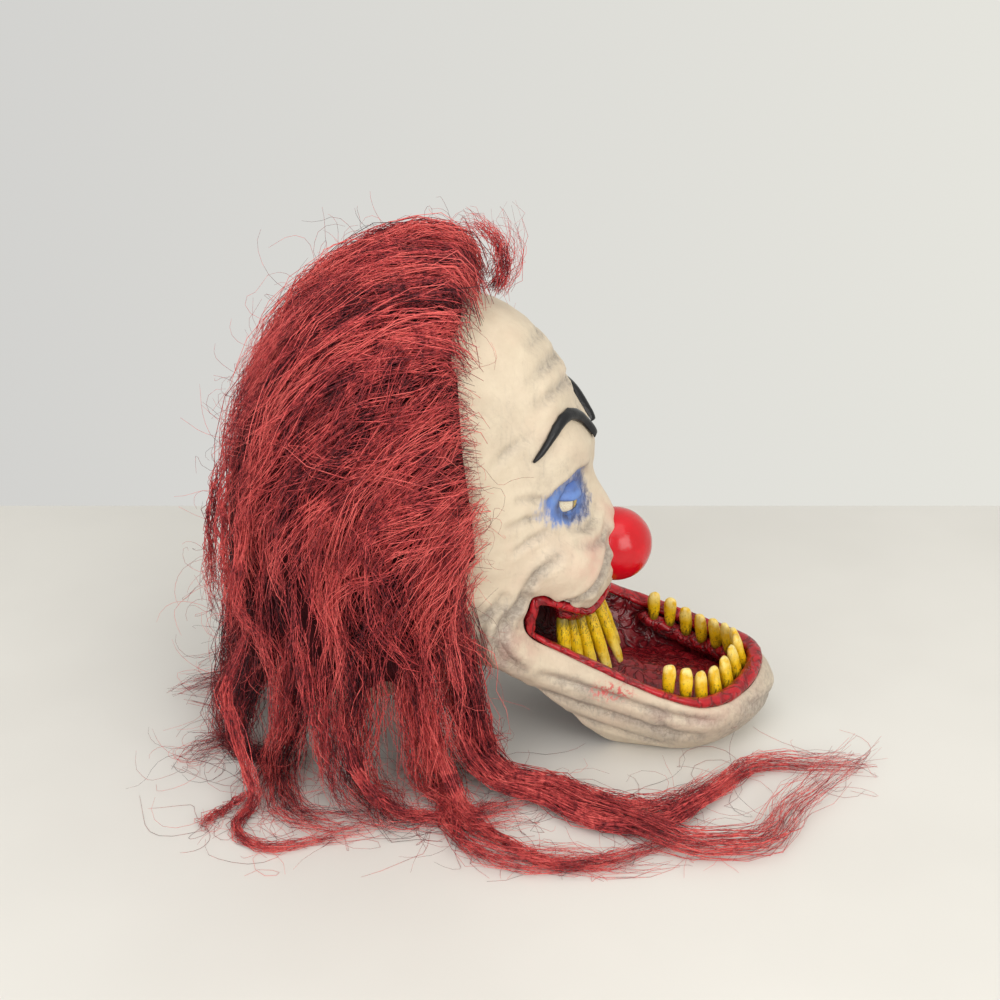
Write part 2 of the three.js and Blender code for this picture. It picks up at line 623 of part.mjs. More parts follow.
// A bead along the arch, narrower at both ends
function gumGeometry(arch, tall) {
  const points = [];
  arch.forEach(({ centre, out, rise }, order) => {
    const radius = GUM_RADIUS * (order === 0 || order === arch.length - 1 ? GUM_TIP_SHARE : 1);
    for (let side = 0; side < GUM_SIDES; side += 1) {
      const turn = (2 * Math.PI * (side + 0.5)) / GUM_SIDES;
      points.push(centre.clone().addScaledVector(out, radius * Math.cos(turn))
        .addScaledVector(rise, radius * tall * Math.sin(turn)));
    }
  });
  return bodyOf(points, sleeveFaces(arch.length, GUM_SIDES));
}

// A rounded block tooth along its own direction
const TOOTH_SECTIONS = [
  { along: 0, width: 0.68, thickness: 0.85 },
  { along: 0.3, width: 0.88, thickness: 1 },
  { along: 0.75, width: 1, thickness: 0.78 },
  { along: 1, width: 0.74, thickness: 0.4 },
];
function toothGeometry(frame) {
  const points = [];
  const rounded = (value) => Math.sign(value) * Math.abs(value) ** TOOTH_SQUARENESS;
  for (const section of TOOTH_SECTIONS) {
    const centre = frame.root.clone().addScaledVector(frame.down, section.along * frame.length);
    for (let side = 0; side < TOOTH_SIDES; side += 1) {
      const turn = (2 * Math.PI * (side + 0.5)) / TOOTH_SIDES;
      points.push(centre.clone()
        .addScaledVector(frame.across, rounded(Math.cos(turn)) * section.width * frame.width / 2)
        .addScaledVector(frame.through, rounded(Math.sin(turn)) * section.thickness * TOOTH_THICKNESS / 2));
    }
  }
  return bodyOf(points, sleeveFaces(TOOTH_SECTIONS.length, TOOTH_SIDES));
}

// A row of teeth along an arch, evenly spaced and longest in the middle, each pushed onto the gum. Upright
// is 1 for teeth that stand up and -1 for teeth that hang.
function toothRow(arch, gum, row, upright) {
  const curve = new THREE.CatmullRomCurve3(arch.map((station) => station.centre));
  const gumSolid = toSolid(gum);
  const spread = row.until - row.from;
  const width = (curve.getLength() * spread) / row.count - row.spacing;
  return Array.from({ length: row.count }, (_, order) => {
    const share = row.from + (spread * (order + 0.5)) / row.count;
    const edge = Math.abs((2 * (order + 0.5)) / row.count - 1);
    const across = curve.getTangentAt(share).setZ(0).normalize();
    const outwards = across.clone().cross(new THREE.Vector3(0, 0, upright)).normalize();
    const lean = row.lean * (1 - LEAN_FADE * edge * edge);
    const down = new THREE.Vector3(0, 0, upright).addScaledVector(outwards, lean).normalize();
    const through = across.clone().cross(down).normalize();
    const length = row.length * (1 - row.shorten * edge ** SHORTEN_CURVE);
    const standing = (travel) => toothGeometry({
      root: curve.getPointAt(share).addScaledVector(down, travel), down, across, through, length, width,
    });
    let touching = 0;
    let clear = SEAT_TRAVEL;
    for (let step = 0; step < SEAT_TRIES; step += 1) {
      const travel = (touching + clear) / 2;
      if (gumSolid.minGap(toSolid(standing(travel)), 2 * GAP) < GAP) touching = travel;
      else clear = travel;
    }
    return standing(clear);
  });
}

// A body swept along a curve. Its sections lie flat, except where the curve is steep.
const STEEP = 0.9;
function sweptGeometry(curve, sides, steps, radiusAt, flatten) {
  const points = [];
  const frames = curve.computeFrenetFrames(steps, false);
  const up = new THREE.Vector3(0, 0, 1);
  for (let step = 0; step <= steps; step += 1) {
    const centre = curve.getPointAt(step / steps);
    const along = frames.tangents[step];
    const steep = Math.abs(along.z) > STEEP;
    const across = steep ? frames.normals[step].clone() : along.clone().cross(up).normalize();
    const lift = across.clone().cross(along).normalize();
    const radius = radiusAt(step / steps);
    for (let side = 0; side < sides; side += 1) {
      const turn = (2 * Math.PI * (side + 0.5)) / sides;
      const point = centre.clone().addScaledVector(across, radius * Math.cos(turn))
        .addScaledVector(lift, radius * flatten * Math.sin(turn));
      point.z = Math.max(0, point.z);
      points.push(point);
    }
  }
  return bodyOf(points, sleeveFaces(steps + 1, sides));
}

// The face's surface straight behind a place seen from the front
const skinMesh = new THREE.Mesh(bodyOf(skin.points, skin.faces.map((face) => face.corners)));
const sight = new THREE.Raycaster();
function onFace(sideways, up, proud) {
  sight.set(at(2 * JAW_REACH, sideways, up), new THREE.Vector3(0, 1, 0));
  const [hit] = sight.intersectObject(skinMesh);
  return hit.point.clone().addScaledVector(hit.face.normal, proud);
}

function browGeometry(hand) {
  const places = BROW_PLACES.map((share) => onFace(
    hand * (BROW_INNER + (BROW_OUTER - BROW_INNER) * share),
    BROW_HEIGHT + BROW_ARCH * Math.sin(Math.PI * share ** BROW_LEAN),
    BROW_RADIUS * BROW_SINK,
  ));
  const curve = new THREE.CatmullRomCurve3(places);
  const radiusAt = (share) => {
    const along = 1 - BROW_SWELL + BROW_SWELL * share;
    return BROW_RADIUS * (BROW_TIP_SHARE + BROW_SWELL * Math.sin(Math.PI * along));
  };
  return fromSolid(toSolid(sweptGeometry(curve, 6, 9, radiusAt, 1)).subtract(seat));
}

// A ball seated in the face, with its foremost point a named distance ahead of the skin
function ballGeometry(sideways, up, proud, radius, [around, rows]) {
  const skinPlace = onFace(sideways, up, 0);
  const centre = at(proud - radius - skinPlace.y, sideways, up);
  const ball = new THREE.SphereGeometry(radius, around, rows);
  ball.rotateX(Math.PI / 2);
  ball.translate(centre.x, centre.y, centre.z);
  return fromSolid(toSolid(ball).subtract(seat));
}

// The hair's main body: closed rings, furrowed like hanging locks, drawn in to a point above and below
function hairBody() {
  const points = [];
  const faces = [];
  HAIR_RINGS.forEach((ring) => {
    const middle = ring.middle * HAIR_BACK;
    for (let side = 0; side < HAIR_SIDES; side += 1) {
      const turn = (2 * Math.PI * side) / HAIR_SIDES;
      const ahead = Math.cos(turn);
      const aside = Math.sin(turn);
      const depth = ahead > 0 ? ring.front * HAIR_BACK - middle : middle - ring.back * HAIR_BACK;
      const power = ahead > 0 ? HAIR_FRONT_ROUNDNESS : HAIR_BACK_ROUNDNESS;
      const fading = 1 - Math.max(0, ahead);
      const furrow = 1 + HAIR_FURROW_DEPTH * fading * Math.cos(HAIR_FURROWS * turn + HAIR_TWIST * ring.up);
      const forward = middle + depth * Math.sign(ahead) * Math.abs(ahead) ** power * furrow;
      const sideways = ring.width * HAIR_HALF_WIDTH * Math.sign(aside) * Math.abs(aside) ** power * furrow;
      points.push(at(forward, sideways, ring.up * HAIR_TOP));
    }
  });
  const top = HAIR_RINGS[HAIR_RINGS.length - 1];
  points.push(at(HAIR_RINGS[0].middle * HAIR_BACK, 0, HAIR_RINGS[0].up * HAIR_TOP));
  points.push(at(top.middle * HAIR_BACK, 0, HAIR_TOP));
  const bottomPole = points.length - 2;
  HAIR_RINGS.forEach((ring, order) => {
    for (let side = 0; side < HAIR_SIDES; side += 1) {
      const next = (side + 1) % HAIR_SIDES;
      const here = order * HAIR_SIDES;
      if (order === 0) faces.push([here + next, here + side, bottomPole]);
      faces.push(order + 1 < HAIR_RINGS.length
        ? [here + side, here + next, here + HAIR_SIDES + next, here + HAIR_SIDES + side]
        : [here + side, here + next, bottomPole + 1]);
    }
  });
  return toSolid(bodyOf(points, faces));
}

// A lock's path: out of the hair, down to the table and along it with a bow and a wave
function lockCurve(lock) {
  const place = ([forward, sideways], up) => at(forward * HAIR_BACK, sideways * HAIR_HALF_WIDTH, up);
  const radius = LOCK_RADIUS * lock.girth;
  const resting = radius * LOCK_FLATTEN;
  const root = place(lock.root, lock.from * HAIR_TOP);
  const landing = place(lock.landing, resting);
  const end = place(lock.end, resting);
  const along = end.clone().sub(landing);
  const across = new THREE.Vector3(-along.y, along.x, 0).normalize();
  const path = [root];
  const fall = root.clone().lerp(landing, LOCK_FALL);
  fall.z = Math.max(LOCK_FALL_CLEARANCE * resting, root.z * LOCK_FALL_HEIGHT);
  path.push(fall);
  for (const share of LOCK_PLACES) {
    const wave = lock.wave * Math.sin(2 * Math.PI * LOCK_WAVES * share);
    const sway = lock.bow * Math.sin(Math.PI * share ** LOCK_BOW_LEAN) + wave;
    path.push(landing.clone().addScaledVector(along, share)
      .addScaledVector(across, -sway * HAIR_HALF_WIDTH * Math.sign(across.x * along.y || 1)));
  }
  return new THREE.CatmullRomCurve3(path, false, "centripetal");
}

function hairGeometry() {
  let hair = hairBody();
  for (const lock of LOCKS) {
    const radius = LOCK_RADIUS * lock.girth;
    const radiusAt = (share) => radius * (1 - (1 - LOCK_TIP_SHARE) * share ** LOCK_TAPER);
    const curve = lockCurve(lock);
    const steps = Math.round(curve.getLength() / LOCK_STEP);
    hair = hair.add(toSolid(sweptGeometry(curve, LOCK_SIDES, steps, radiusAt, LOCK_FLATTEN)));
  }
  const foot = at(TUFT.root[0] * HAIR_BACK, TUFT.root[1] * HAIR_HALF_WIDTH, TUFT.from * HAIR_TOP);
  const tip = at(TUFT.tip[0] * HAIR_BACK, TUFT.tip[1] * HAIR_HALF_WIDTH, TUFT.top * HAIR_TOP);
  const crest = foot.clone().lerp(tip, 0.5).add(at(...TUFT.crest));
  const tuft = new THREE.CatmullRomCurve3([foot, crest, tip]);
  const tuftRadius = (share) => LOCK_RADIUS * TUFT.girth * (1 + TUFT.tipShare - share);
  hair = hair.add(toSolid(sweptGeometry(tuft, LOCK_SIDES, TUFT.steps, tuftRadius, 1)));
  const [largest] = hair.subtract(hairSeat).decompose().sort((a, b) => b.volume() - a.volume());
  return fromSolid(largest);
}

const mask = new THREE.Group();
mask.add(named("mask_skin", wallOf(skin.points, skinFaces, WALL), skinColour));
mask.add(named("lips", lipGeometry(), lipColour));
mask.add(named("mouth_lining", wallOf(lining.points, lining.faces, LINING_WALL), mouthColour));
mask.add(named("tongue", tongueGeometry(), mouthColour));

const upperStart = 2 * CORNER_COLUMN + upperEdge - lowerEdge;
const lowerArch = gumArch(0, { inset: LOWER_GUM_INSET, drop: 0, skip: GUM_SKIPS.lower });
const upperArch = gumArch(upperStart, { inset: UPPER_GUM_INSET, drop: UPPER_GUM_DROP, skip: GUM_SKIPS.upper });
const lowerGum = gumGeometry(lowerArch, LOWER_GUM_TALL);
const upperGum = gumGeometry(upperArch, UPPER_GUM_TALL);
const jaws = [
  { name: "lower", gum: lowerGum, teeth: toothRow(lowerArch, lowerGum, LOWER_TEETH, 1) },
  { name: "upper", gum: upperGum, teeth: toothRow(upperArch, upperGum, UPPER_TEETH, -1) },
];
for (const { name, gum, teeth } of jaws) {
  mask.add(named(`${name}_gum`, gum, gumColour));
  teeth.forEach((tooth, order) => mask.add(named(`${name}_tooth_${order + 1}`, tooth, toothColour)));
}

const nose = ballGeometry(0, NOSE_HEIGHT, NOSE_PROUD, NOSE_RADIUS, BALL_SIDES.nose);
mask.add(named("nose", nose, noseColour));
for (const [name, hand] of [["right", -1], ["left", 1]]) {
  const eye = ballGeometry(hand * EYE_APART, EYE_HEIGHT, EYE_PROUD, EYE_RADIUS, BALL_SIDES.eye);
  mask.add(named(`eye_${name}`, eye, eyeColour));
  mask.add(named(`eyebrow_${name}`, browGeometry(hand), browColour));
}
mask.add(named("hair", hairGeometry(), hairColour));

// The origin is under the middle of the whole mask, on the table
const extent = new THREE.Box3().setFromObject(mask);
const middle = extent.getCenter(new THREE.Vector3());
mask.position.set(-middle.x, -middle.y, -extent.min.z);

export default mask;
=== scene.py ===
"""An overhead clown mask of moulded latex with long crimped hair, standing on a pale table."""
import math
import random
from collections import namedtuple

import bmesh
import bpy
import numpy as np
from mathutils import Matrix, Vector, noise
from mathutils.bvhtree import BVHTree


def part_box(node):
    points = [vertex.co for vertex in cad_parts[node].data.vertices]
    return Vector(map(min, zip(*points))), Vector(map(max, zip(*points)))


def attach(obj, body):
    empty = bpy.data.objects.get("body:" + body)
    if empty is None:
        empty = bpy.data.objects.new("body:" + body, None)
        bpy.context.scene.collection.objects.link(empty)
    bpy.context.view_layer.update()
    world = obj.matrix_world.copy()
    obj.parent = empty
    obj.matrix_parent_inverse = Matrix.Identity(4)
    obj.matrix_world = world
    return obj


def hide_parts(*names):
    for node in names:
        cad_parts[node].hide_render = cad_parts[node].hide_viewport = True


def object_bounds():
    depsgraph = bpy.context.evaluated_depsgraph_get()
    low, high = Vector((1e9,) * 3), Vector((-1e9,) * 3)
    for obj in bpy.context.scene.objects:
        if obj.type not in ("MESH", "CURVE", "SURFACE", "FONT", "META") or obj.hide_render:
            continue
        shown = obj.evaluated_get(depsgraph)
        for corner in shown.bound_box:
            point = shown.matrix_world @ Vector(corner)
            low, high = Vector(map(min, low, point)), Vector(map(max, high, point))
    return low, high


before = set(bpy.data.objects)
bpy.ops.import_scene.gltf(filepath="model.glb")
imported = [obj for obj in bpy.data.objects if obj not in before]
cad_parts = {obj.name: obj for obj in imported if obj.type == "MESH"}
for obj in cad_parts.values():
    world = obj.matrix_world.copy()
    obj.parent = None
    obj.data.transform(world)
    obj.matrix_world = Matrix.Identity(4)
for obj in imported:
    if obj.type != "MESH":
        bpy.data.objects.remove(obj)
cad_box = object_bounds()
MM = 0.001
dice = random.Random(11)
chance = np.random.default_rng(11)
noise.seed_set(11)

# The moulded head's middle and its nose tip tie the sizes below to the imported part
NOSE_TIP = 115
nose_low, nose_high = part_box("nose")
SIDE_SHIFT = (nose_low[0] + nose_high[0]) / 2
FORWARD_SHIFT = nose_low[1] + NOSE_TIP * MM


def at(forward, sideways, up):
    """A place on the mask, from millimetres ahead of the ears, to its left and above the table."""
    return Vector((sideways * MM + SIDE_SHIFT, FORWARD_SHIFT - forward * MM, up * MM))


# Finishes
class Value:
    """One socket of a material, so that a pattern reads as sums and products."""

    def __init__(self, paint, socket):
        self.paint = paint
        self.socket = socket

    def _math(self, operation, first, second=None):
        sockets = {0: first} if second is None else {0: first, 1: second}
        return self.paint.node("ShaderNodeMath", {"operation": operation}, sockets)[0]

    def __add__(self, other):
        return self._math("ADD", self, other)

    def __sub__(self, other):
        return self._math("SUBTRACT", self, other)

    def __rsub__(self, other):
        return self._math("SUBTRACT", other, self)

    def __mul__(self, other):
        return self._math("MULTIPLY", self, other)

    def __pow__(self, other):
        return self._math("POWER", self, other)

    __radd__ = __add__
    __rmul__ = __mul__

    def between(self, low, high):
        """0 below low, 1 above high, with a soft passage."""
        settings = {"interpolation_type": "SMOOTHSTEP"}
        return self.paint.node("ShaderNodeMapRange", settings, {"Value": self, 1: low, 2: high})[0]


class Paint:
    """A finish being mixed."""

    def __init__(self, name):
        self.material = bpy.data.materials.new(name)
        self.material.use_nodes = True
        self.tree = self.material.node_tree
        self.tree.nodes.clear()
        self.place = self.node("ShaderNodeTexCoord")["Object"]

    def node(self, kind, settings=None, sockets=None):
        node = self.tree.nodes.new(kind)
        for name, value in (settings or {}).items():
            if name == "stops":
                self._stops(node.color_ramp, value)
            else:
                setattr(node, name, value)
        for key, value in (sockets or {}).items():
            if isinstance(value, Value):
                self.tree.links.new(value.socket, node.inputs[key])
            else:
                node.inputs[key].default_value = value
        outputs = {output.name: Value(self, output) for output in node.outputs if output.enabled}
        outputs.update(dict(enumerate(list(outputs.values()))))
        return outputs

    @staticmethod
    def _stops(ramp, stops):
        while len(ramp.elements) < len(stops):
            ramp.elements.new(0.5)
        for element, (position, colour) in zip(ramp.elements, stops):
            element.position = position
            element.color = (*colour, 1)

    def stretched(self, scale, turn=(0, 0, 0)):
        sockets = {"Vector": self.place, "Scale": scale, "Rotation": turn}
        return self.node("ShaderNodeMapping", None, sockets)[0]

    def grain(self, size, detail=4, rough=0.55, twist=0, place=None):
        """Soft noise whose features are size millimetres wide."""
        sockets = {"Vector": place or self.place, "Scale": 1 / (size * MM), "Detail": detail,
                   "Roughness": rough, "Distortion": twist}
        return self.node("ShaderNodeTexNoise", None, sockets)[0]

    def cracks(self, size, place=None):
        """Distance from the edges of cells size millimetres wide."""
        return self.node("ShaderNodeTexVoronoi", {"feature": "DISTANCE_TO_EDGE"},
                         {"Vector": place or self.place, "Scale": 1 / (size * MM)})["Distance"]

    def measure(self, name):
        return self.node("ShaderNodeAttribute", {"attribute_name": name})["Fac"]

    def mix(self, mask, first, second):
        node = self.tree.nodes.new("ShaderNodeMix")
        node.data_type = "RGBA"
        for order, value in ((0, mask), (6, first), (7, second)):
            if isinstance(value, Value):
                self.tree.links.new(value.socket, node.inputs[order])
            elif order:
                node.inputs[order].default_value = (*value, 1)
            else:
                node.inputs[order].default_value = value
        return Value(self, node.outputs[2])

    def ramp(self, value, stops):
        return self.node("ShaderNodeValToRGB", {"stops": stops}, {"Fac": value})["Color"]

    def finish(self, colour, roughness, bump=None, depth=1.0, fixed=None):
        """Closes the material with its colour, roughness and relief, depth in millimetres."""
        shader = self.tree.nodes.new("ShaderNodeBsdfPrincipled")
        output = self.tree.nodes.new("ShaderNodeOutputMaterial")
        for name, value in (fixed or {}).items():
            shader.inputs[name].default_value = value
        for name, value in (("Base Color", colour), ("Roughness", roughness)):
            if isinstance(value, Value):
                self.tree.links.new(value.socket, shader.inputs[name])
            else:
                shader.inputs[name].default_value = value if name == "Roughness" else (*value, 1)
        if bump is not None:
            sockets = {"Height": bump, "Distance": depth * MM, "Strength": 1}
            relief = self.node("ShaderNodeBump", None, sockets)
            self.tree.links.new(relief["Normal"].socket, shader.inputs["Normal"])
        self.tree.links.new(shader.outputs[0], output.inputs[0])
        return self.material


def latex_skin_paint():
    """Cream latex with painted shade in its folds and hollows, fine brush lines, blue round the eyes and pink
    by the mouth.
    """
    paint = Paint("latex_skin")
    broad = paint.grain(45, 3)
    cloud = paint.grain(16, 5, 0.6)
    fine = paint.grain(3.2, 5, 0.62)
    hairlines = paint.grain(2.6, 4, 0.7, 0.6, paint.stretched((1, 0.25, 0.22), (0.5, 0, 0)))
    strokes = paint.grain(3.4, 3, 0.6, 0.8, paint.stretched((0.3, 1, 0.25), (0, 0.6, 0.4)))
    creases = paint.cracks(7, paint.stretched((1, 0.6, 1)))
    # Painted shade: a measure of how far each place lies in a fold or a hollow, or under the chin and jaw,
    # where shade falls.
    wash = paint.measure("wash")
    cream = paint.mix(cloud.between(0.3, 0.72), (0.655, 0.56, 0.425), (0.60, 0.50, 0.375))
    cream = paint.mix(broad.between(0.45, 0.75) * 0.35, cream, (0.69, 0.51, 0.39))
    lines = (hairlines.between(0.53, 0.66) * 0.5 + strokes.between(0.55, 0.68) * 0.5)
    # This darker colour is painted shade in the folds and hollows, and also the colour of the fine brush
    # lines all over.
    brush_and_shade_grey = paint.mix(fine.between(0.35, 0.7), (0.30, 0.255, 0.21), (0.47, 0.41, 0.34))
    amount = wash * (cloud.between(0.2, 0.62) * 0.55 + 0.35) + wash * lines * 0.55 + lines * 0.07
    skin = paint.mix(amount.between(0.0, 0.95), cream, brush_and_shade_grey)
    # Painted shade: the darkest brown along crease cells where the painted shade is strongest.
    deep_shade = (creases.between(0.05, 0.0) * wash).between(0.25, 0.9)
    skin = paint.mix(deep_shade * 0.35, skin, (0.17, 0.13, 0.11))
    blush = paint.measure("blush") * (cloud.between(0.3, 0.65) * 0.6 + 0.4)
    skin = paint.mix(blush.between(0.02, 0.9) * 0.75, skin, (0.72, 0.28, 0.24))
    smear = paint.measure("smear") * fine.between(0.42, 0.62)
    skin = paint.mix(smear.between(0.1, 0.7) * 0.8, skin, (0.62, 0.05, 0.06))
    blue = paint.measure("blue") + (fine - 0.5) * 0.35 + (strokes - 0.5) * 0.5
    azure = paint.mix(cloud.between(0.3, 0.7), (0.05, 0.14, 0.46), (0.11, 0.24, 0.60))
    navy = paint.measure("navy") * (strokes.between(0.4, 0.6) * 0.5 + 0.5)
    azure = paint.mix(navy, azure, (0.02, 0.04, 0.13))
    blue = blue * paint.measure("blue").between(0, 0.25)
    skin = paint.mix(blue.between(0.28, 0.62) * 0.94, skin, azure)
    relief = fine * 0.16 + cloud * 0.3 + creases.between(0, 0.16) * 0.08 - lines * 0.16
    rough = 0.44 + cloud * 0.16
    return paint.finish(skin, rough, relief, 0.9)


def wet_paint(name, light, dark, gloss=0.16, size=9):
    """A glossy red over wrinkled latex, with painted shade that darkens it along its grooves and in its
    hollows.
    """
    paint = Paint(name)
    cloud = paint.grain(size, 4, 0.6, 0.4)
    fine = paint.grain(size / 5, 4, 0.6)
    folds = paint.grain(size * 1.6, 2, 0.5, 1.4)
    ridges = folds.between(0.40, 0.5) * folds.between(0.60, 0.5)
    # Painted shade: darker along the grooves of the folds.
    shade = cloud * 0.7 + fine * 0.3 - ridges * 0.2
    colour = paint.mix(shade.between(0.22, 0.6), dark, light)
    hollow_shade_colour = tuple(0.35 * part for part in dark)
    # Painted shade: darker where the depth measure is high, in the hollows of the mouth.
    colour = paint.mix(paint.measure("depth").between(0.2, 1) * 0.75, colour, hollow_shade_colour)
    relief = cloud * 0.7 + fine * 0.15 - ridges * 0.7
    return paint.finish(colour, gloss + fine * 0.14, relief, 1.0, {"Specular IOR Level": 0.4})


def nose_paint():
    """A red lacquered ball with faint scuffs."""
    paint = Paint("nose_lacquer")
    cloud = paint.grain(22, 4)
    scuffs = paint.grain(2.2, 5, 0.7, 0.5, paint.stretched((1, 0.4, 1)))
    colour = paint.mix(cloud.between(0.35, 0.7), (0.50, 0.002, 0.008), (0.62, 0.005, 0.014))
    colour = paint.mix(scuffs.between(0.66, 0.76) * 0.5, colour, (0.32, 0.01, 0.015))
    rough = 0.15 + scuffs.between(0.5, 0.8) * 0.2
    return paint.finish(colour, rough, cloud * 0.5 + scuffs * 0.1, 1.1, {"Specular IOR Level": 0.45})


def tooth_paint():
    """Strong yellow with dark speckled grime towards the root and paler edges."""
    paint = Paint("tooth_yellow")
    cloud = paint.grain(6, 4, 0.6)
    fine = paint.grain(1.5, 5, 0.68, 0.3)
    lines = paint.grain(1.6, 4, 0.7, 0.3, paint.stretched((1, 1, 0.25)))
    root = paint.measure("root")
    yellow = paint.mix(cloud.between(0.3, 0.7), (0.72, 0.42, 0.002), (0.85, 0.58, 0.012))
    yellow = paint.mix(paint.measure("edge") * cloud.between(0.35, 0.6) * 0.6, yellow, (0.86, 0.78, 0.42))
    grime = lines.between(0.52, 0.63) * 0.7 + fine.between(0.53, 0.65) * 0.8
    grime = grime * (root * 0.75 + 0.3) + root ** 3 * 0.6
    colour = paint.mix(grime.between(0.08, 0.75) * 0.92, yellow, (0.10, 0.075, 0.008))
    relief = cloud * 0.6 + fine * 0.15 + lines * 0.2
    return paint.finish(colour, 0.24 + fine * 0.2, relief, 0.7, {"Specular IOR Level": 0.4})


def brow_paint():
    """Glossy black with greyed scuffs."""
    paint = Paint("brow_lacquer")
    cloud = paint.grain(7, 4)
    scuffs = paint.grain(1.4, 5, 0.7, 0.4)
    colour = paint.mix(scuffs.between(0.6, 0.75) * 0.5, (0.006, 0.006, 0.008), (0.05, 0.05, 0.055))
    relief = cloud * 0.8 + scuffs * 0.1
    return paint.finish(colour, 0.2 + scuffs * 0.22, relief, 0.6, {"Specular IOR Level": 0.35})


def eye_paint(name, centre):
    """White, a mottled olive iris and a dark pupil, painted round the line of sight."""
    paint = Paint(name)
    offset = paint.node("ShaderNodeMapping", {"vector_type": "POINT"},
                        {"Vector": paint.place, "Location": tuple(-part for part in centre)})[0]
    parts = paint.node("ShaderNodeSeparateXYZ", None, {0: offset})
    across = (parts["X"] * parts["X"] + parts["Z"] * parts["Z"]) ** 0.5
    fine = paint.grain(1.1, 4)
    iris = across + (fine - 0.5) * 0.0012
    white = paint.mix(fine.between(0.4, 0.7), (0.74, 0.68, 0.52), (0.62, 0.50, 0.34))
    olive = paint.mix(fine.between(0.35, 0.65), (0.30, 0.22, 0.03), (0.50, 0.42, 0.08))
    colour = paint.mix(iris.between(9.0 * MM, 8.2 * MM), white, olive)
    colour = paint.mix(iris.between(4.1 * MM, 3.6 * MM), colour, (0.006, 0.006, 0.006))
    rim = iris.between(8.0 * MM, 8.8 * MM) * iris.between(10.0 * MM, 9.0 * MM)
    colour = paint.mix(rim * 0.85, colour, (0.05, 0.035, 0.01))
    return paint.finish(colour, 0.08, fine, 0.1, {"Coat Weight": 0.5, "Coat Roughness": 0.03})


def hair_paint(name, lift=0.0):
    """Crimped fibre from near-black maroon to coral, strand by strand, with painted glints and painted shade
    and light over its clumps.
    """
    paint = Paint(name)
    along = paint.measure("along")
    painted_glints = paint.grain(3.2, 3, 0.7, 0.6)
    clump_shade_and_light = paint.grain(17, 3, 0.6, 0.8, paint.stretched((1, 0.75, 0.4)))
    # Painted glints and dark gaps: small bright and dark flecks along the strands.
    tone = paint.measure("shade") + painted_glints.between(0.36, 0.64) * 0.42 - 0.24 + lift + along * 0.09
    # Painted shade and light: dark recesses between clumps and brighter clumps.
    tone = tone + clump_shade_and_light.between(0.38, 0.62) * 0.4 - 0.2
    colour = paint.ramp(tone, [
        (0.0, (0.028, 0.004, 0.009)), (0.25, (0.13, 0.014, 0.022)), (0.5, (0.36, 0.042, 0.048)),
        (0.75, (0.62, 0.074, 0.076)), (1.0, (0.82, 0.15, 0.135)),
    ])
    return paint.finish(colour, 0.44, None, 1.0, {"Specular IOR Level": 0.3})


def under_hair_shade_paint():
    """The matted fibre between the locks, near-black maroon as painted shade in the gaps between them."""
    paint = Paint("hair_underlayer")
    streaks = paint.grain(2.4, 5, 0.7, 1.2, paint.stretched((1, 0.8, 0.18)))
    cloud = paint.grain(18, 3)
    tone = streaks * 0.7 + cloud * 0.3
    colour = paint.ramp(tone, [
        (0.3, (0.012, 0.002, 0.003)), (0.55, (0.045, 0.006, 0.008)), (0.8, (0.11, 0.012, 0.014)),
    ])
    return paint.finish(colour, 0.8, streaks, 2.0, {"Specular IOR Level": 0.08})


# Making pieces
def finished(name, form, paint, slot, *nodes):
    """A piece on the mask's one body, in place of the plain solids that it stands for."""
    mesh = bpy.data.meshes.new(name)
    form.to_mesh(mesh)
    form.free()
    return placed(name, mesh, paint, slot, *nodes)


def placed(name, mesh, paint, slot, *nodes):
    mesh.materials.clear()
    mesh.materials.append(paint)
    mesh.polygons.foreach_set("use_smooth", [True] * len(mesh.polygons))
    piece = bpy.data.objects.new(name, mesh)
    bpy.context.scene.collection.objects.link(piece)
    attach(piece, "root")
    if nodes:
        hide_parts(*nodes)
    return piece


def cad_form(*nodes):
    """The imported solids' surface with its corners joined and its triangles paired."""
    form = bmesh.new()
    for node in nodes:
        form.from_mesh(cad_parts[node].data)
    bmesh.ops.remove_doubles(form, verts=form.verts, dist=0.02 * MM)
    bmesh.ops.join_triangles(form, faces=form.faces, angle_face_threshold=0.9, angle_shape_threshold=1.3)
    return form


def rounded(form, levels):
    """The same form, subdivided smoothly."""
    mesh = bpy.data.meshes.new("rounding")
    form.to_mesh(mesh)
    form.free()
    holder = bpy.data.objects.new("rounding", mesh)
    bpy.context.scene.collection.objects.link(holder)
    smoothing = holder.modifiers.new("smooth", "SUBSURF")
    smoothing.levels = levels
    smoothing.render_levels = levels
    graph = bpy.context.evaluated_depsgraph_get()
    smooth = bpy.data.meshes.new_from_object(holder.evaluated_get(graph))
    result = bmesh.new()
    result.from_mesh(smooth)
    bpy.data.objects.remove(holder)
    bpy.data.meshes.remove(mesh)
    bpy.data.meshes.remove(smooth)
    return result


def globe(around, rows):
    """A ball of radius 1, its corners in level rings."""
    form = bmesh.new()
    top = form.verts.new((0, 0, 1))
    bottom = form.verts.new((0, 0, -1))
    rings = []
    for row in range(1, rows):
        fall = math.pi * row / rows
        turns = [2 * math.pi * order / around for order in range(around)]
        rings.append([form.verts.new((math.sin(fall) * math.cos(turn), math.sin(fall) * math.sin(turn),
                                      math.cos(fall))) for turn in turns])
    for here in range(around):
        after = (here + 1) % around
        form.faces.new((top, rings[0][here], rings[0][after]))
        form.faces.new((bottom, rings[-1][after], rings[-1][here]))
        for above, below in zip(rings, rings[1:]):
            form.faces.new((above[here], below[here], below[after], above[after]))
    form.normal_update()
    return form


def places_of(form):
    return np.array([vertex.co[:] for vertex in form.verts])


def set_measure(form, name, values):
    layer = form.verts.layers.float.new(name)
    for vertex, value in zip(form.verts, values):
        vertex[layer] = float(value)


def lumps(place, size):
    return noise.noise(place / (size * MM))


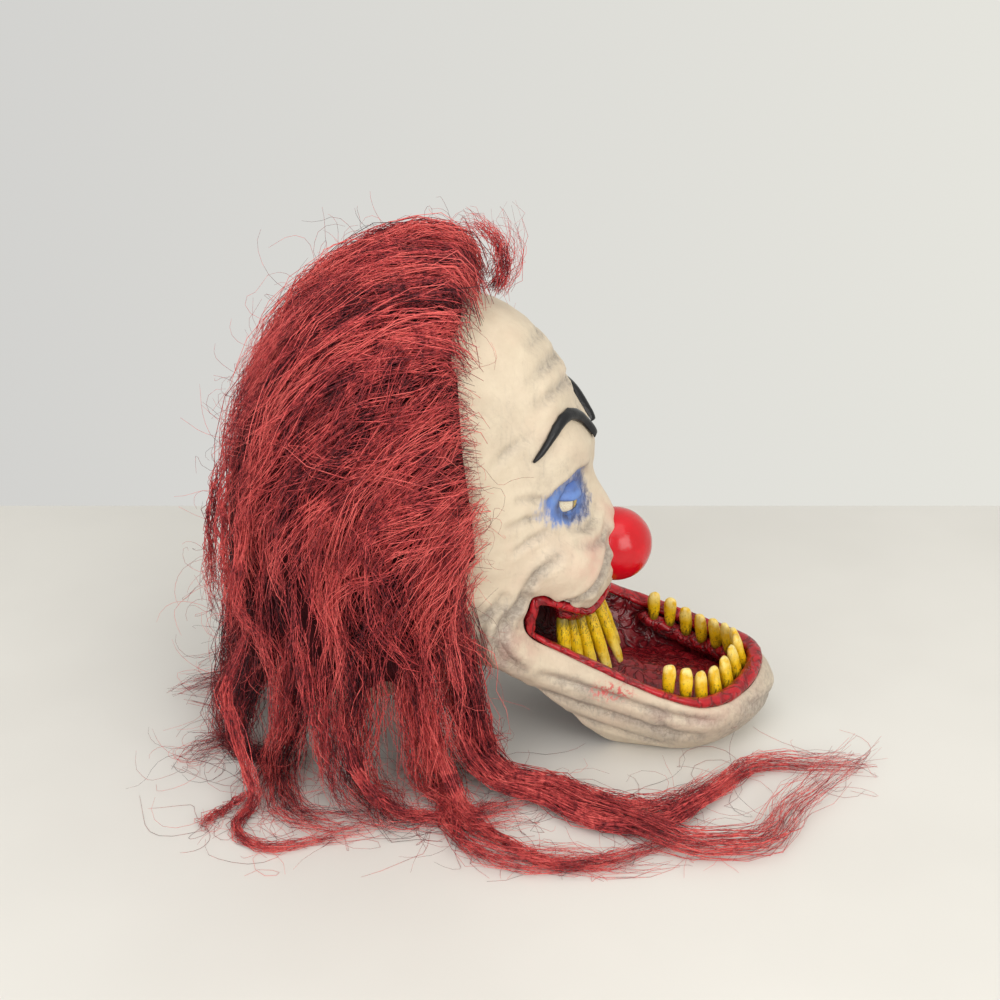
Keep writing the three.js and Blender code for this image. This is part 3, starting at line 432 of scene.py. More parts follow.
def bell(offset, width):
    """1 where the offset is 0, falling away smoothly over the width."""
    return np.exp(-(offset / width) ** 2)


def distances(places, points):
    """How far each place is from the nearest of the points."""
    least = np.full(len(places), 1.0)
    for point in points:
        least = np.minimum(least, np.linalg.norm(places - point, axis=1))
    return least


# The latex head
# Folds of the face, each a line of places: seen from the front as sideways and up, seen from the side as
# forward and up. Every fold stands on both sides of the face.
Fold = namedtuple("Fold", "name seen depth width line")
FOLDS = [
    Fold("forehead_low", "front", 2.6, 3.4, [(0, 284), (16, 287), (34, 288), (50, 282)]),
    Fold("forehead_mid", "front", 2.4, 3.4, [(0, 301), (16, 304), (34, 303), (46, 298)]),
    Fold("forehead_high", "front", 1.8, 3.4, [(0, 318), (14, 320), (30, 318)]),
    Fold("frown", "front", 3.0, 3.0, [(6, 228), (8, 240), (7, 256), (10, 268)]),
    Fold("lid_top", "front", 3.4, 3.0, [(18, 216), (28, 226), (42, 228), (56, 220), (64, 210)]),
    Fold("eye_bag", "front", 3.0, 2.8, [(18, 192), (28, 185), (42, 184), (56, 192)]),
    Fold("eye_bag_low", "front", 2.4, 3.0, [(20, 180), (34, 172), (50, 174), (62, 182)]),
    Fold("cheek_fold", "front", 5.0, 4.2, [(24, 168), (36, 160), (50, 150), (62, 138), (70, 126)]),
    Fold("cheek_inner", "front", 2.2, 2.8, [(28, 150), (38, 144), (50, 138)]),
    Fold("lip_ridge_in", "front", 1.8, 2.4, [(8, 136), (9, 128)]),
    Fold("lip_ridge_mid", "front", 1.8, 2.4, [(20, 140), (22, 132)]),
    Fold("lip_ridge_out", "front", 1.8, 2.4, [(34, 138), (37, 131)]),
    Fold("crow_high", "side", 2.2, 2.4, [(34, 216), (22, 221), (10, 222)]),
    Fold("crow_mid", "side", 2.4, 2.4, [(32, 206), (18, 208), (4, 205)]),
    Fold("crow_low", "side", 2.2, 2.4, [(34, 196), (20, 193), (8, 186)]),
    Fold("temple", "side", 1.6, 3.0, [(18, 262), (4, 256), (-8, 246)]),
    Fold("cheek_line", "side", 2.6, 3.2, [(40, 176), (26, 168), (16, 154), (12, 140)]),
    Fold("corner_fold", "side", 4.2, 4.0, [(18, 148), (4, 134), (-2, 116), (4, 100), (16, 88)]),
    Fold("corner_outer", "side", 3.0, 3.6, [(2, 152), (-12, 136), (-17, 114), (-12, 94)]),
    Fold("corner_last", "side", 2.0, 3.4, [(-16, 146), (-28, 124), (-28, 104)]),
    Fold("jaw_upper", "side", 2.6, 3.2, [(30, 82), (60, 70), (96, 57), (132, 46), (164, 38)]),
    Fold("jaw_middle", "side", 2.6, 3.4, [(24, 66), (56, 52), (92, 40), (126, 30), (150, 25)]),
    Fold("jaw_lower", "side", 2.2, 3.4, [(36, 46), (66, 32), (100, 20), (128, 12)]),
    Fold("jaw_step", "side", 1.6, 3.4, [(112, 50), (124, 34), (128, 18)]),
    Fold("chin_line", "front", 2.2, 3.6, [(0, 27), (18, 28), (36, 33), (52, 40)]),
    Fold("neck_front", "side", 2.4, 4.0, [(-40, 96), (-46, 66), (-42, 40)]),
    Fold("neck_middle", "side", 2.2, 4.2, [(-66, 104), (-74, 66), (-72, 30)]),
    Fold("neck_back", "side", 2.2, 4.4, [(-98, 96), (-108, 56), (-104, 20)]),
]
# Painted shade, as forward, sideways, up, spread and amount, on both sides of the face: soft dark spots in
# hollows and low on the jaw, chin and neck
SHADES = [
    (40, 34, 232, 24, 0.35), (30, 58, 236, 20, 0.25), (64, 14, 262, 20, 0.2), (30, 66, 178, 22, 0.35),
    (4, 78, 120, 26, 0.45), (-10, 84, 80, 30, 0.35), (180, 50, 24, 36, 0.6), (206, 16, 26, 30, 0.5),
    (120, 62, 30, 30, 0.35), (60, 70, 60, 26, 0.35), (74, 30, 160, 16, 0.35), (-60, 92, 60, 40, 0.3),
    (10, 76, 280, 26, 0.25), (44, 30, 318, 24, 0.2),
]
# Soft spots of pink and of smeared red, as strength, then the middle and spread forward, aside and up
EVERYWHERE = (0, 1e6)
BLUSHES = [
    (0.5, (60, 26), (54, 20), (166, 20)), (0.5, (88, 18), (0, 30), (186, 22)),
    (0.45, (10, 22), (76, 16), (108, 22)), (0.3, (150, 60), EVERYWHERE, (44, 14)),
]
SMEARS = [(1, (82, 16), (72, 18), (66, 9))]
# The skin is divided finely as far back as this, and a fold fades over its last stretch
FINE_REACH = 46 * MM
FOLD_END = 14 * MM


def outer_mask(form, shell):
    """1 on the outside of the head's wall and 0 on its inside, told by how shut in each place is."""
    ways = [Vector(way) for way in ((1, 0, 0), (-1, 0, 0), (0, 1, 0), (0, -1, 0), (0, 0, 1), (0, 0, -1))]
    mask = []
    for vertex in form.verts:
        start = vertex.co + vertex.normal * 6 * MM
        shut = sum(1 for way in ways if shell.ray_cast(start, way)[0] is not None)
        mask.append(0.0 if shut >= 4 else 1.0)
    return np.array(mask)


def fold_points(shell, fold, hand):
    """The fold's line laid on the head, as points about 2 mm apart."""
    points = []
    line = fold.line
    for (first, low), (second, high) in zip(line, line[1:]):
        steps = max(2, int(math.hypot(second - first, high - low) / 2))
        for step in range(steps):
            share = step / steps
            along = first + (second - first) * share
            up = low + (high - low) * share
            if fold.seen == "front":
                hit = shell.ray_cast(at(320, hand * along, up), Vector((0, 1, 0)))[0]
            else:
                hit = shell.ray_cast(at(along, hand * 240, up), Vector((-hand, 0, 0)))[0]
            if hit is not None:
                points.append(hit)
    return points


def fold_relief(places, shell):
    """What the folds carve at each place, in millimetres, and the painted shade in and between them."""
    carve = np.zeros(len(places))
    shade = np.zeros(len(places))
    for fold in FOLDS:
        for hand in (-1, 1):
            line = np.array([point[:] for point in fold_points(shell, fold, hand)])
            if not len(line):
                continue
            away = distances(places, line) / MM
            ends = np.linalg.norm(places - line[-1], axis=1)
            crosses_middle = abs(fold.line[0][0]) < 1
            if not crosses_middle:
                ends = np.minimum(ends, np.linalg.norm(places - line[0], axis=1))
            fade = 0.35 + 0.65 * np.clip(ends / FOLD_END, 0, 1)
            groove = bell(away, fold.width)
            ridge = bell(away - 2.1 * fold.width, 1.2 * fold.width)
            carve += fade * fold.depth * (0.42 * ridge - groove)
            # Painted shade along each fold's groove.
            shade += fade * bell(away, 1.5 * fold.width) * fold.depth / 4
    for forward, sideways, up, spread, amount in SHADES:
        for hand in (-1, 1):
            away = np.linalg.norm(places - np.array(at(forward, hand * sideways, up)[:]), axis=1)
            shade += amount * bell(away, spread * MM)
    return carve, shade


def eye_colours(places):
    """How blue and how nearly black each place is, round both eyes."""
    blue = np.zeros(len(places))
    navy = np.zeros(len(places))
    for hand, node in ((-1, "eye_right"), (1, "eye_left")):
        low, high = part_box(node)
        sideways = (places[:, 0] - SIDE_SHIFT) * hand / MM - EYE_APART
        up = (places[:, 2] - (low[2] + high[2]) / 2) / MM
        ahead = (FORWARD_SHIFT - places[:, 1]) / MM
        outwards = np.where(sideways > 0, sideways / 38, sideways / 21)
        lift = np.where(up > 0, up / 25, up / 21)
        reach = np.hypot(outwards, lift) + np.clip((18 - ahead) / 40, 0, 1)
        front = ahead > -6
        blue = np.maximum(blue, np.where(front, np.clip(1.25 - reach, 0, 1), 0))
        ring = bell(np.hypot(sideways / 17, up / 15) - 1, 0.28)
        below = bell(up + 19, 5) * bell(sideways - 12, 26)
        navy = np.maximum(navy, np.where(front, np.maximum(ring, below), 0))
    return blue, navy


def spotted(spots, *offsets):
    """The strength of soft spots of paint at places with these offsets from the mask's own axes."""
    total = 0
    for strength, *middles in spots:
        for offset, (middle, spread) in zip(offsets, middles):
            strength = strength * bell(offset - middle, spread)
        total = total + strength
    return total


def sculpt_head():
    """The moulded head with its folds and lumps, and a measure for each colour of its paint."""
    form = rounded(cad_form("mask_skin"), 2)
    shell = BVHTree.FromBMesh(form)
    outside = dict(zip(form.verts, outer_mask(form, shell)))
    edges = {}
    for polygon in form.faces:
        ahead = polygon.calc_center_median().y < FORWARD_SHIFT + FINE_REACH
        if ahead and all(outside[vertex] for vertex in polygon.verts):
            edges.update(dict.fromkeys(polygon.edges))
    bmesh.ops.subdivide_edges(form, edges=list(edges), cuts=1, use_grid_fill=True, smooth=0.0)
    form.normal_update()
    outside = outer_mask(form, shell)
    places = places_of(form)
    carve, shade = fold_relief(places, shell)
    blue, navy = eye_colours(places)
    offsets = ((FORWARD_SHIFT - places[:, 1]) / MM, np.abs(places[:, 0] - SIDE_SHIFT) / MM, places[:, 2] / MM)
    for order, vertex in enumerate(form.verts):
        if outside[order]:
            rise = 0.8 * lumps(vertex.co, 30) + 0.16 * lumps(vertex.co, 9)
            vertex.co += vertex.normal * float(carve[order] * 0.85 + rise) * MM
            vertex.co.z = max(vertex.co.z, 0.0)
    # The first measure is painted shade from the folds and spots, with a little everywhere.
    measures = {"wash": shade + 0.06, "blue": blue, "navy": navy, "blush": spotted(BLUSHES, *offsets),
                "smear": spotted(SMEARS, *offsets)}
    for name, values in measures.items():
        set_measure(form, name, np.clip(values, 0, 1))
    return form


def lumpy(form, rise, size):
    """The form with soft lumps of rise millimetres, size millimetres wide."""
    for vertex in form.verts:
        lift = rise * lumps(vertex.co, size) + 0.35 * rise * lumps(vertex.co, size / 3)
        vertex.co += vertex.normal * lift * MM
    return form


def with_hollow_shade(form, values):
    """The form with a measure of painted shade: how dark its hollows are."""
    set_measure(form, "depth", values)
    return form


def sliced(form, place, way):
    """Cuts away what lies behind a plane."""
    everything = form.verts[:] + form.edges[:] + form.faces[:]
    bmesh.ops.bisect_plane(form, geom=everything, plane_co=place, plane_no=way, clear_inner=True)


# Mouth
TEETH = {
    "lower": [f"lower_tooth_{order}" for order in range(1, 15)],
    "upper": [f"upper_tooth_{order}" for order in range(1, 11)],
}
# Each end of a moulded tooth is a ring of so many corners, and its root runs on into the gum
RING_CORNERS = 8
RING_DEPTH = 0.4 * MM
ROOT_RUN = 5 * MM
TIP_RUN = 1.2 * MM
LIP_FULLNESS = 1.3


def tooth_form(node, upright):
    """A rounded tooth and its root's middle. Upright is 1 for a tooth that stands, -1 for one that hangs."""
    form = cad_form(node)
    heights = sorted(vertex.co.z * upright for vertex in form.verts)
    root_edge = heights[RING_CORNERS - 1] + RING_DEPTH
    tip_edge = heights[-RING_CORNERS] - RING_DEPTH
    roots = [vertex for vertex in form.verts if vertex.co.z * upright <= root_edge]
    tips = [vertex for vertex in form.verts if vertex.co.z * upright >= tip_edge]
    root = sum((vertex.co for vertex in roots), Vector()) / len(roots)
    tip = sum((vertex.co for vertex in tips), Vector()) / len(tips)
    along = (tip - root).normalized()
    for vertex in roots:
        vertex.co -= along * ROOT_RUN
    for vertex in tips:
        vertex.co += along * TIP_RUN
    form = rounded(form, 2)
    length = (tip - root).length
    swell = dice.uniform(0.2, 0.5)
    seed = Vector((dice.random(), dice.random(), dice.random()))
    for vertex in form.verts:
        vertex.co += vertex.normal * (0.55 * noise.noise(vertex.co / (7 * MM) + seed) + swell * 0.4) * MM
    shares = [min(1.0, max(0.0, 1 - (vertex.co - root).dot(along) / length)) for vertex in form.verts]
    set_measure(form, "root", [share ** 1.6 for share in shares])
    set_measure(form, "edge", [max(0.0, 1 - share * 2.2) for share in shares])
    return form, root


def tooth_row(name, upright):
    """All teeth of a row as one form, and the middles of their roots."""
    row = bmesh.new()
    for layer in ("root", "edge"):
        row.verts.layers.float.new(layer)
    roots = []
    for node in TEETH[name]:
        form, root = tooth_form(node, upright)
        roots.append(root)
        mesh = bpy.data.meshes.new("tooth")
        form.to_mesh(mesh)
        form.free()
        row.from_mesh(mesh)
        bpy.data.meshes.remove(mesh)
    return row, roots


def gum_form(node, roots):
    """A gum that swells round the root of each tooth."""
    form = rounded(cad_form(node), 3)
    for vertex in form.verts:
        nearest = min((vertex.co - root).length for root in roots) / MM
        swell = 2.6 * math.exp(-((nearest - 6.5) / 3.5) ** 2)
        vertex.co += vertex.normal * (swell + 0.8 * lumps(vertex.co, 6)) * MM
    places = places_of(form)
    # Painted shade: the gum darkens away from the tooth roots.
    near = distances(places, [np.array(root[:]) for root in roots]) / MM
    return with_hollow_shade(form, np.clip((near - 6) / 6, 0, 0.6))


def lip_form():
    form = rounded(cad_form("lips"), 2)
    for vertex in form.verts:
        crease = noise.noise(Vector((vertex.co.x * 260, vertex.co.y * 260, vertex.co.z * 60)))
        vertex.co += vertex.normal * (LIP_FULLNESS + 0.55 * crease + 0.5 * lumps(vertex.co, 14)) * MM
    return with_hollow_shade(form, np.zeros(len(form.verts)))


def lining_form():
    """The inside of the mouth, ridged across the palate, with painted shade that darkens it towards the
    throat.
    """
    form = rounded(cad_form("mouth_lining"), 2)
    throat = at(20, 0, 90)
    deep_shade = []
    for vertex in form.verts:
        ridge = math.sin(vertex.co.y / (5.5 * MM) + 2 * lumps(vertex.co, 18))
        inner = 0.45 * ridge + 0.8 * lumps(vertex.co, 11) + 0.3 * lumps(vertex.co, 4)
        if vertex.normal.z > 0.2:
            vertex.co += vertex.normal * min(inner, 0.9) * MM
        # Painted shade: darker the nearer the throat.
        away = (vertex.co - throat).length / MM
        deep_shade.append(max(0.0, 1 - away / 120))
    return with_hollow_shade(form, deep_shade)


def tongue_form():
    form = rounded(cad_form("tongue"), 3)
    for vertex in form.verts:
        aside = abs(vertex.co.x - SIDE_SHIFT) / MM
        groove = 1.8 * math.exp(-(aside / 3) ** 2)
        ripple = 0.7 * math.sin((vertex.co.y / MM) / 2.6 + 3 * lumps(vertex.co, 22))
        if vertex.normal.z > 0:
            vertex.co += vertex.normal * (0.9 * lumps(vertex.co, 7) + ripple - groove) * MM
    return with_hollow_shade(form, np.full(len(form.verts), 0.15))


# Eyes, nose and brows
EYE_RADIUS = 14
EYE_APART = 35
LID_RADIUS = 15.2
NOSE_RADIUS = 28


def eye_centre(node, hand):
    low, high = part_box(node)
    return Vector((SIDE_SHIFT + hand * EYE_APART * MM, low[1] + EYE_RADIUS * MM, (low[2] + high[2]) / 2))


def ball_form(centre, radius, around, rows):
    form = globe(around, rows)
    bmesh.ops.scale(form, verts=form.verts, vec=Vector((1, 1, 1)) * radius * MM)
    bmesh.ops.rotate(form, verts=form.verts, cent=(0, 0, 0), matrix=Matrix.Rotation(math.pi / 2, 3, "X"))
    bmesh.ops.translate(form, verts=form.verts, vec=centre)
    return form


def lid_form(centre, keep, level):
    """The part of a ball round the eye that lies past a plane, given a thickness and a soft edge."""
    form = ball_form(centre, LID_RADIUS, 40, 24)
    place = centre + keep * level * MM
    sliced(form, place, keep)
    sliced(form, centre + Vector((0, 3 * MM, 0)), (0, -1, 0))
    bmesh.ops.recalc_face_normals(form, faces=form.faces)
    bmesh.ops.solidify(form, geom=form.faces[:], thickness=-1.7 * MM)
    bmesh.ops.recalc_face_normals(form, faces=form.faces)
    form = rounded(form, 1)
    for vertex in form.verts:
        vertex.co += vertex.normal * 0.35 * lumps(vertex.co, 5) * MM
    past = np.array([(vertex.co - place).dot(keep) / MM for vertex in form.verts])
    # A little painted shade on the lids, which are all blue with a dark edge.
    for name, value in (("wash", 0.1), ("blue", 1), ("blush", 0), ("smear", 0)):
        set_measure(form, name, np.full(len(past), value))
    set_measure(form, "navy", bell(past, 1.6) + 0.4 * bell(past - 7, 1.2))
    return form


def nose_form():
    centre = Vector((SIDE_SHIFT, nose_low[1] + NOSE_RADIUS * MM, (nose_low[2] + nose_high[2]) / 2))
    return lumpy(ball_form(centre, NOSE_RADIUS - 0.2, 72, 44), 0.35, 20)


# Hair
# The hair's outer form at each height: up, front, middle, back and half width, as in the moulded part
HAIR_RINGS = [
    (0.1, -0.3, -0.52, -0.96, 0.74), (0.19, -0.22, -0.48, -1, 0.86), (0.28, -0.14, -0.45, -1.03, 0.96),
    (0.37, -0.04, -0.42, -1.03, 1), (0.46, 0.02, -0.4, -1.02, 1.02), (0.55, 0.04, -0.4, -1, 1.02),
    (0.64, 0.02, -0.4, -0.96, 1), (0.73, 0, -0.4, -0.9, 0.94), (0.81, -0.01, -0.39, -0.8, 0.84),
    (0.89, -0.01, -0.36, -0.68, 0.68), (0.95, 0, -0.3, -0.53, 0.47), (0.985, -0.04, -0.25, -0.4, 0.26),
    (1, -0.2, -0.25, -0.26, 0.01),
]
HAIR_HALF_WIDTH = 124
HAIR_BACK = 200
HAIR_TOP = 389
LOCK_RADIUS = 13
# Locks that fall to the table and lie on it, by the same measures as the moulded part's
Lock = namedtuple("Lock", "root rise landing end bow wave girth strands")
LOCKS = [
    Lock((-0.2, -0.8), 0.42, (-0.06, -0.72), (1.44, -0.6), -0.62, 0.2, 1.5, 84),
    Lock((-0.35, -0.85), 0.36, (-0.2, -0.8), (0.66, -1.4), -0.5, -0.05, 1.1, 40),
    Lock((-0.3, -0.84), 0.3, (-0.26, -0.85), (0.1, -1.2), -0.1, 0.06, 1.3, 40),
    Lock((-0.5, -0.84), 0.34, (-0.5, -0.88), (-0.15, -1.2), -0.1, 0.06, 1.4, 45),
    Lock((-0.7, -0.72), 0.34, (-0.82, -0.62), (-0.35, -1.15), -0.3, 0.04, 1.1, 36),
    Lock((-0.85, -0.5), 0.34, (-1, -0.45), (-0.9, -1.1), 0.14, 0.06, 0.75, 22),
    Lock((-0.94, -0.22), 0.36, (-1.08, -0.2), (-1.22, -0.6), 0.1, 0.08, 0.8, 22),
    Lock((-0.97, 0.08), 0.34, (-1.05, 0.1), (-1.3, 0.3), -0.1, 0.08, 1.1, 27),
    Lock((-0.9, 0.4), 0.34, (-0.98, 0.46), (-1.15, 0.85), 0.1, 0.08, 1.1, 27),
    Lock((-0.72, 0.7), 0.34, (-0.78, 0.8), (-0.8, 1.3), 0.12, 0.08, 1.2, 31),
    Lock((-0.5, 0.83), 0.34, (-0.52, 0.9), (-0.35, 1.35), 0.1, 0.08, 1.3, 36),
    Lock((-0.3, 0.84), 0.34, (-0.24, 0.9), (0.3, 1.3), 0.2, 0.1, 1.2, 36),
]
# Thin locks by their places, in forward, sideways and up
ThinLock = namedtuple("ThinLock", "girth strands line")
THIN_LOCKS = [
    ThinLock(4.5, 34, [(-188, -40, 250), (-200, -50, 225), (-205, -60, 190), (-207, -62, 150),
                       (-203, -62, 118)]),
    ThinLock(4.5, 34, [(-182, -60, 250), (-192, -74, 220), (-192, -84, 180), (-190, -86, 150),
                       (-196, -84, 112)]),
    ThinLock(4.5, 30, [(-170, -76, 230), (-178, -92, 190), (-180, -96, 150), (-165, -98, 120),
                       (-160, -98, 96)]),
    ThinLock(4.5, 46, [(-170, -80, 150), (-186, -96, 110), (-196, -100, 80), (-186, -112, 42),
                       (-176, -124, 8), (-186, -140, 4), (-184, -156, 3), (-162, -172, 3),
                       (-130, -164, 3), (-78, -148, 3)]),
    ThinLock(3.6, 24, [(-176, -118, 14), (-196, -128, 4), (-210, -142, 3), (-204, -152, 3)]),
    ThinLock(5.0, 46, [(-60, -106, 90), (-40, -116, 30), (-22, -140, 6), (6, -170, 5), (34, -190, 4),
                       (62, -190, 4), (110, -170, 4), (150, -140, 4)]),
    ThinLock(8.5, 96, [(-40, -104, 70), (-10, -112, 20), (30, -122, 10), (70, -150, 8), (112, -150, 8),
                       (150, -118, 8), (190, -78, 6), (236, -74, 4), (284, -76, 3)]),
    ThinLock(8.5, 84, [(-30, -100, 60), (0, -104, 20), (40, -112, 14), (80, -128, 10), (120, -128, 8),
                       (150, -104, 6), (176, -84, 4)]),
    ThinLock(6.0, 60, [(-120, -108, 90), (-100, -124, 30), (-74, -136, 8), (-40, -140, 6),
                       (-8, -130, 6), (30, -124, 8)]),
    ThinLock(3.0, 18, [(-40, -100, 80), (-20, -98, 50), (-4, -84, 34), (8, -70, 28)]),
    ThinLock(8.5, 76, [(-126, -86, 190), (-136, -98, 150), (-134, -106, 110), (-128, -112, 70),
                       (-120, -119, 30), (-104, -132, 6), (-80, -140, 4)]),
]
STRAND_RADIUS = 0.29
BOX_SPARE = 9 * MM


def ring_at(height):
    """The form's measures at a height, a share of its top."""
    heights, *measures = zip(*HAIR_RINGS)
    return [float(np.interp(height, heights, measure)) for measure in measures]


def dome_place(turn, height, grow=0.0):
    """A place on the hair's outer form, turned from the front, grown by millimetres."""
    front, middle, back, width = ring_at(height)
    ahead = math.cos(turn)
    aside = math.sin(turn)
    depth = (front - middle if ahead > 0 else middle - back) * HAIR_BACK + grow
    power = 0.8 if ahead > 0 else 0.92
    forward = middle * HAIR_BACK + depth * math.copysign(abs(ahead) ** power, ahead)
    sideways = (width * HAIR_HALF_WIDTH + grow) * math.copysign(abs(aside) ** power, aside)
    return at(forward, sideways, height * HAIR_TOP)


def dome_form():
    """The hair's outer form as one closed shape."""
    form = globe(64, 40)
    for vertex in form.verts:
        share = 1 - math.acos(max(-1.0, min(1.0, vertex.co.z))) / math.pi
        turn = math.atan2(vertex.co.x, -vertex.co.y)
        vertex.co = dome_place(turn, 0.1 + 0.9 * share)
    bmesh.ops.recalc_face_normals(form, faces=form.faces)
    return form


dome = dome_form()
dome_tree = BVHTree.FromBMesh(dome)
skin_form = bmesh.new()
skin_form.from_mesh(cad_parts["mask_skin"].data)
skin_tree = BVHTree.FromBMesh(skin_form)
LOOSE_HEIGHT = 105
LEVEL_WAYS = [Vector(way) for way in ((1, 0, 0), (-1, 0, 0), (0, 1, 0), (0, -1, 0), (0, 0, 1))]


def under_skin(place):
    """Whether a place lies in the head's hollow or in its wall, shut in but for its mouth or its neck."""
    return sum(skin_tree.ray_cast(place, way)[0] is not None for way in LEVEL_WAYS) >= 4


def combed(place, heading, sway):
    """The way the hair wants to run at a place: back from the face, then down."""
    forward = (FORWARD_SHIFT - place.y) / MM
    up = place.z / MM
    behind = min(1.0, max(0.0, (-forward - 12) / 115))
    low = min(1.0, max(0.0, (262 - up) / 120))
    fall = math.radians(6 + 52 * behind + 48 * low + sway)
    way = Vector((0, math.cos(fall), -math.sin(fall)))
    return way if heading is None else (way * 0.45 + heading * 0.55).normalized()


def flow_line(start, root, length, layer, sink, sway):
    """A line over the hair's form from a place on it, which then gathers into the nearest lock or hangs."""
    step = 9 * MM
    place = start.copy()
    line = [place.copy()]
    if root:
        line = [root, root.lerp(place, 0.55) + Vector((0, -1.5 * MM, 1.5 * MM)), place.copy()]
    heading = combed(place, None, sway)
    gather = chance.uniform(140, 230) * MM
    for count in range(int(length * MM / step)):
        if place.z < gather:
            break
        wander = sway + 58 * noise.noise(place / (58 * MM) + Vector((0, 0, sway / 4)))
        way = combed(place, heading, wander)
        _, normal, _, _ = dome_tree.find_nearest(place)
        way = (way - normal * way.dot(normal)).normalized()
        place = place + way * step
        near, normal, _, _ = dome_tree.find_nearest(place)
        target = near + normal * (layer - sink * math.exp(-count / 2.2)) * MM
        place = place.lerp(target, 0.7)
        heading = way
        line.append(place.copy())
    stiff = np.array([point[:] for point in line])
    left = length * MM - step * (len(line) - 1)
    if left > 45 * MM:
        tail = gathered_tail(place) if chance.uniform() < 0.86 else hanging_tail(place, left)
        stiff = np.concatenate([stiff[::2] if len(stiff) > 4 else stiff, tail])
    joined = rounded_line(stiff, 4)
    lengths = np.concatenate([[0], np.cumsum(np.linalg.norm(np.diff(joined, axis=0), axis=1))])
    return waved(joined[lengths <= length * MM])


def gathered_tail(place):
    """The rest of a line once it has joined the lock that starts nearest to it."""
    here = np.array(place[:])
    away = [np.linalg.norm(path[0][:2] - here[:2]) + chance.uniform(0, 22 * MM) for path in lock_lines]
    chosen = int(np.argmin(away))
    path = lock_lines[chosen]
    angle = chance.uniform(0, 2 * math.pi)
    aside = LOCK_RADIUS * LOCKS[chosen].girth * MM * 0.7 * math.sqrt(chance.uniform(0, 1))
    below = [order for order, point in enumerate(path) if point[2] < here[2] - 34 * MM]
    tail = path[below[0]::4] + np.array([math.cos(angle), math.sin(angle), 0]) * aside
    tail[:, 2] += np.linspace(0, 1, len(tail)) * chance.uniform(0, 5 * MM)
    return tail


def hanging_tail(place, left):
    """The rest of a line that falls freely and then lies on the table."""
    outwards = Vector((place.x - SIDE_SHIFT, (place.y - FORWARD_SHIFT - 90 * MM) * 0.8, 0)).normalized()
    turned = Matrix.Rotation(chance.uniform(-0.9, 0.9), 3, "Z") @ outwards
    step = 16 * MM
    tail = []
    place = place.copy()
    lowest = chance.choice((0.0, 1.0)) * chance.uniform(10, 95) * MM
    for _ in range(max(2, int(left / step))):
        falling = place.z > 16 * MM
        if len(tail) > 1 and (place.z < lowest or (not falling and chance.uniform() < 0.3)):
            break
        way = Vector((0, 0, -1)) + turned * 0.05 if falling else turned + Vector((0, 0, -0.25))
        place = place + way.normalized() * step
        place.z = max(place.z, 3 * MM)
        tail.append(place[:])
    return np.array(tail)


def waved(line):
    """The line with the loose wave of unbrushed hair, wider where it hangs."""
    seed = Vector(chance.uniform(0, 90, 3))
    for order in range(2, len(line)):
        point = Vector(line[order])
        reach = 4.4 + 4.6 * min(1.0, order / len(line) + (point.z < 0.2) * 0.4)
        shift = noise.noise_vector(point / (36 * MM) + seed) * reach * MM
        if point.z < 30 * MM:
            shift.z *= 0.2
        line[order] += shift
    return line


def resampled(line, count, until=1.0, since=0.0):
    """count points evenly along part of a line, on a smooth curve through its places."""
    lengths = np.concatenate([[0], np.cumsum(np.linalg.norm(np.diff(line, axis=0), axis=1))])
    marks = np.linspace(since, until, count) * lengths[-1]
    return np.stack([np.interp(marks, lengths, line[:, axis]) for axis in range(3)], axis=1)


def rounded_line(line, per=8):
    """A Catmull-Rom curve through the places of a line."""
    ends = np.concatenate([[2 * line[0] - line[1]], line, [2 * line[-1] - line[-2]]])
    shares = np.linspace(0, 1, per, endpoint=False)[:, None]
    curve = []
    for a, b, c, d in zip(ends, ends[1:], ends[2:], ends[3:]):
        curve.append(0.5 * (2 * b + (c - a) * shares + (2 * a - 5 * b + 4 * c - d) * shares ** 2
                            + (3 * b - a - 3 * c + d) * shares ** 3))
    return np.concatenate(curve + [[line[-1]]])


def side_ways(line):
    """Two directions across a line at each of its points, carried along it without twist."""
    tangents = np.gradient(line, axis=0)
    tangents /= np.linalg.norm(tangents, axis=1)[:, None] + 1e-12
    across = np.cross(tangents[0], (0, 0, 1))
    if np.linalg.norm(across) < 0.1:
        across = np.cross(tangents[0], (1, 0, 0))
    firsts = []
    for tangent in tangents:
        across = across - tangent * np.dot(across, tangent)
        across = across / (np.linalg.norm(across) + 1e-12)
        firsts.append(across)
    firsts = np.array(firsts)
    return firsts, np.cross(tangents, firsts)


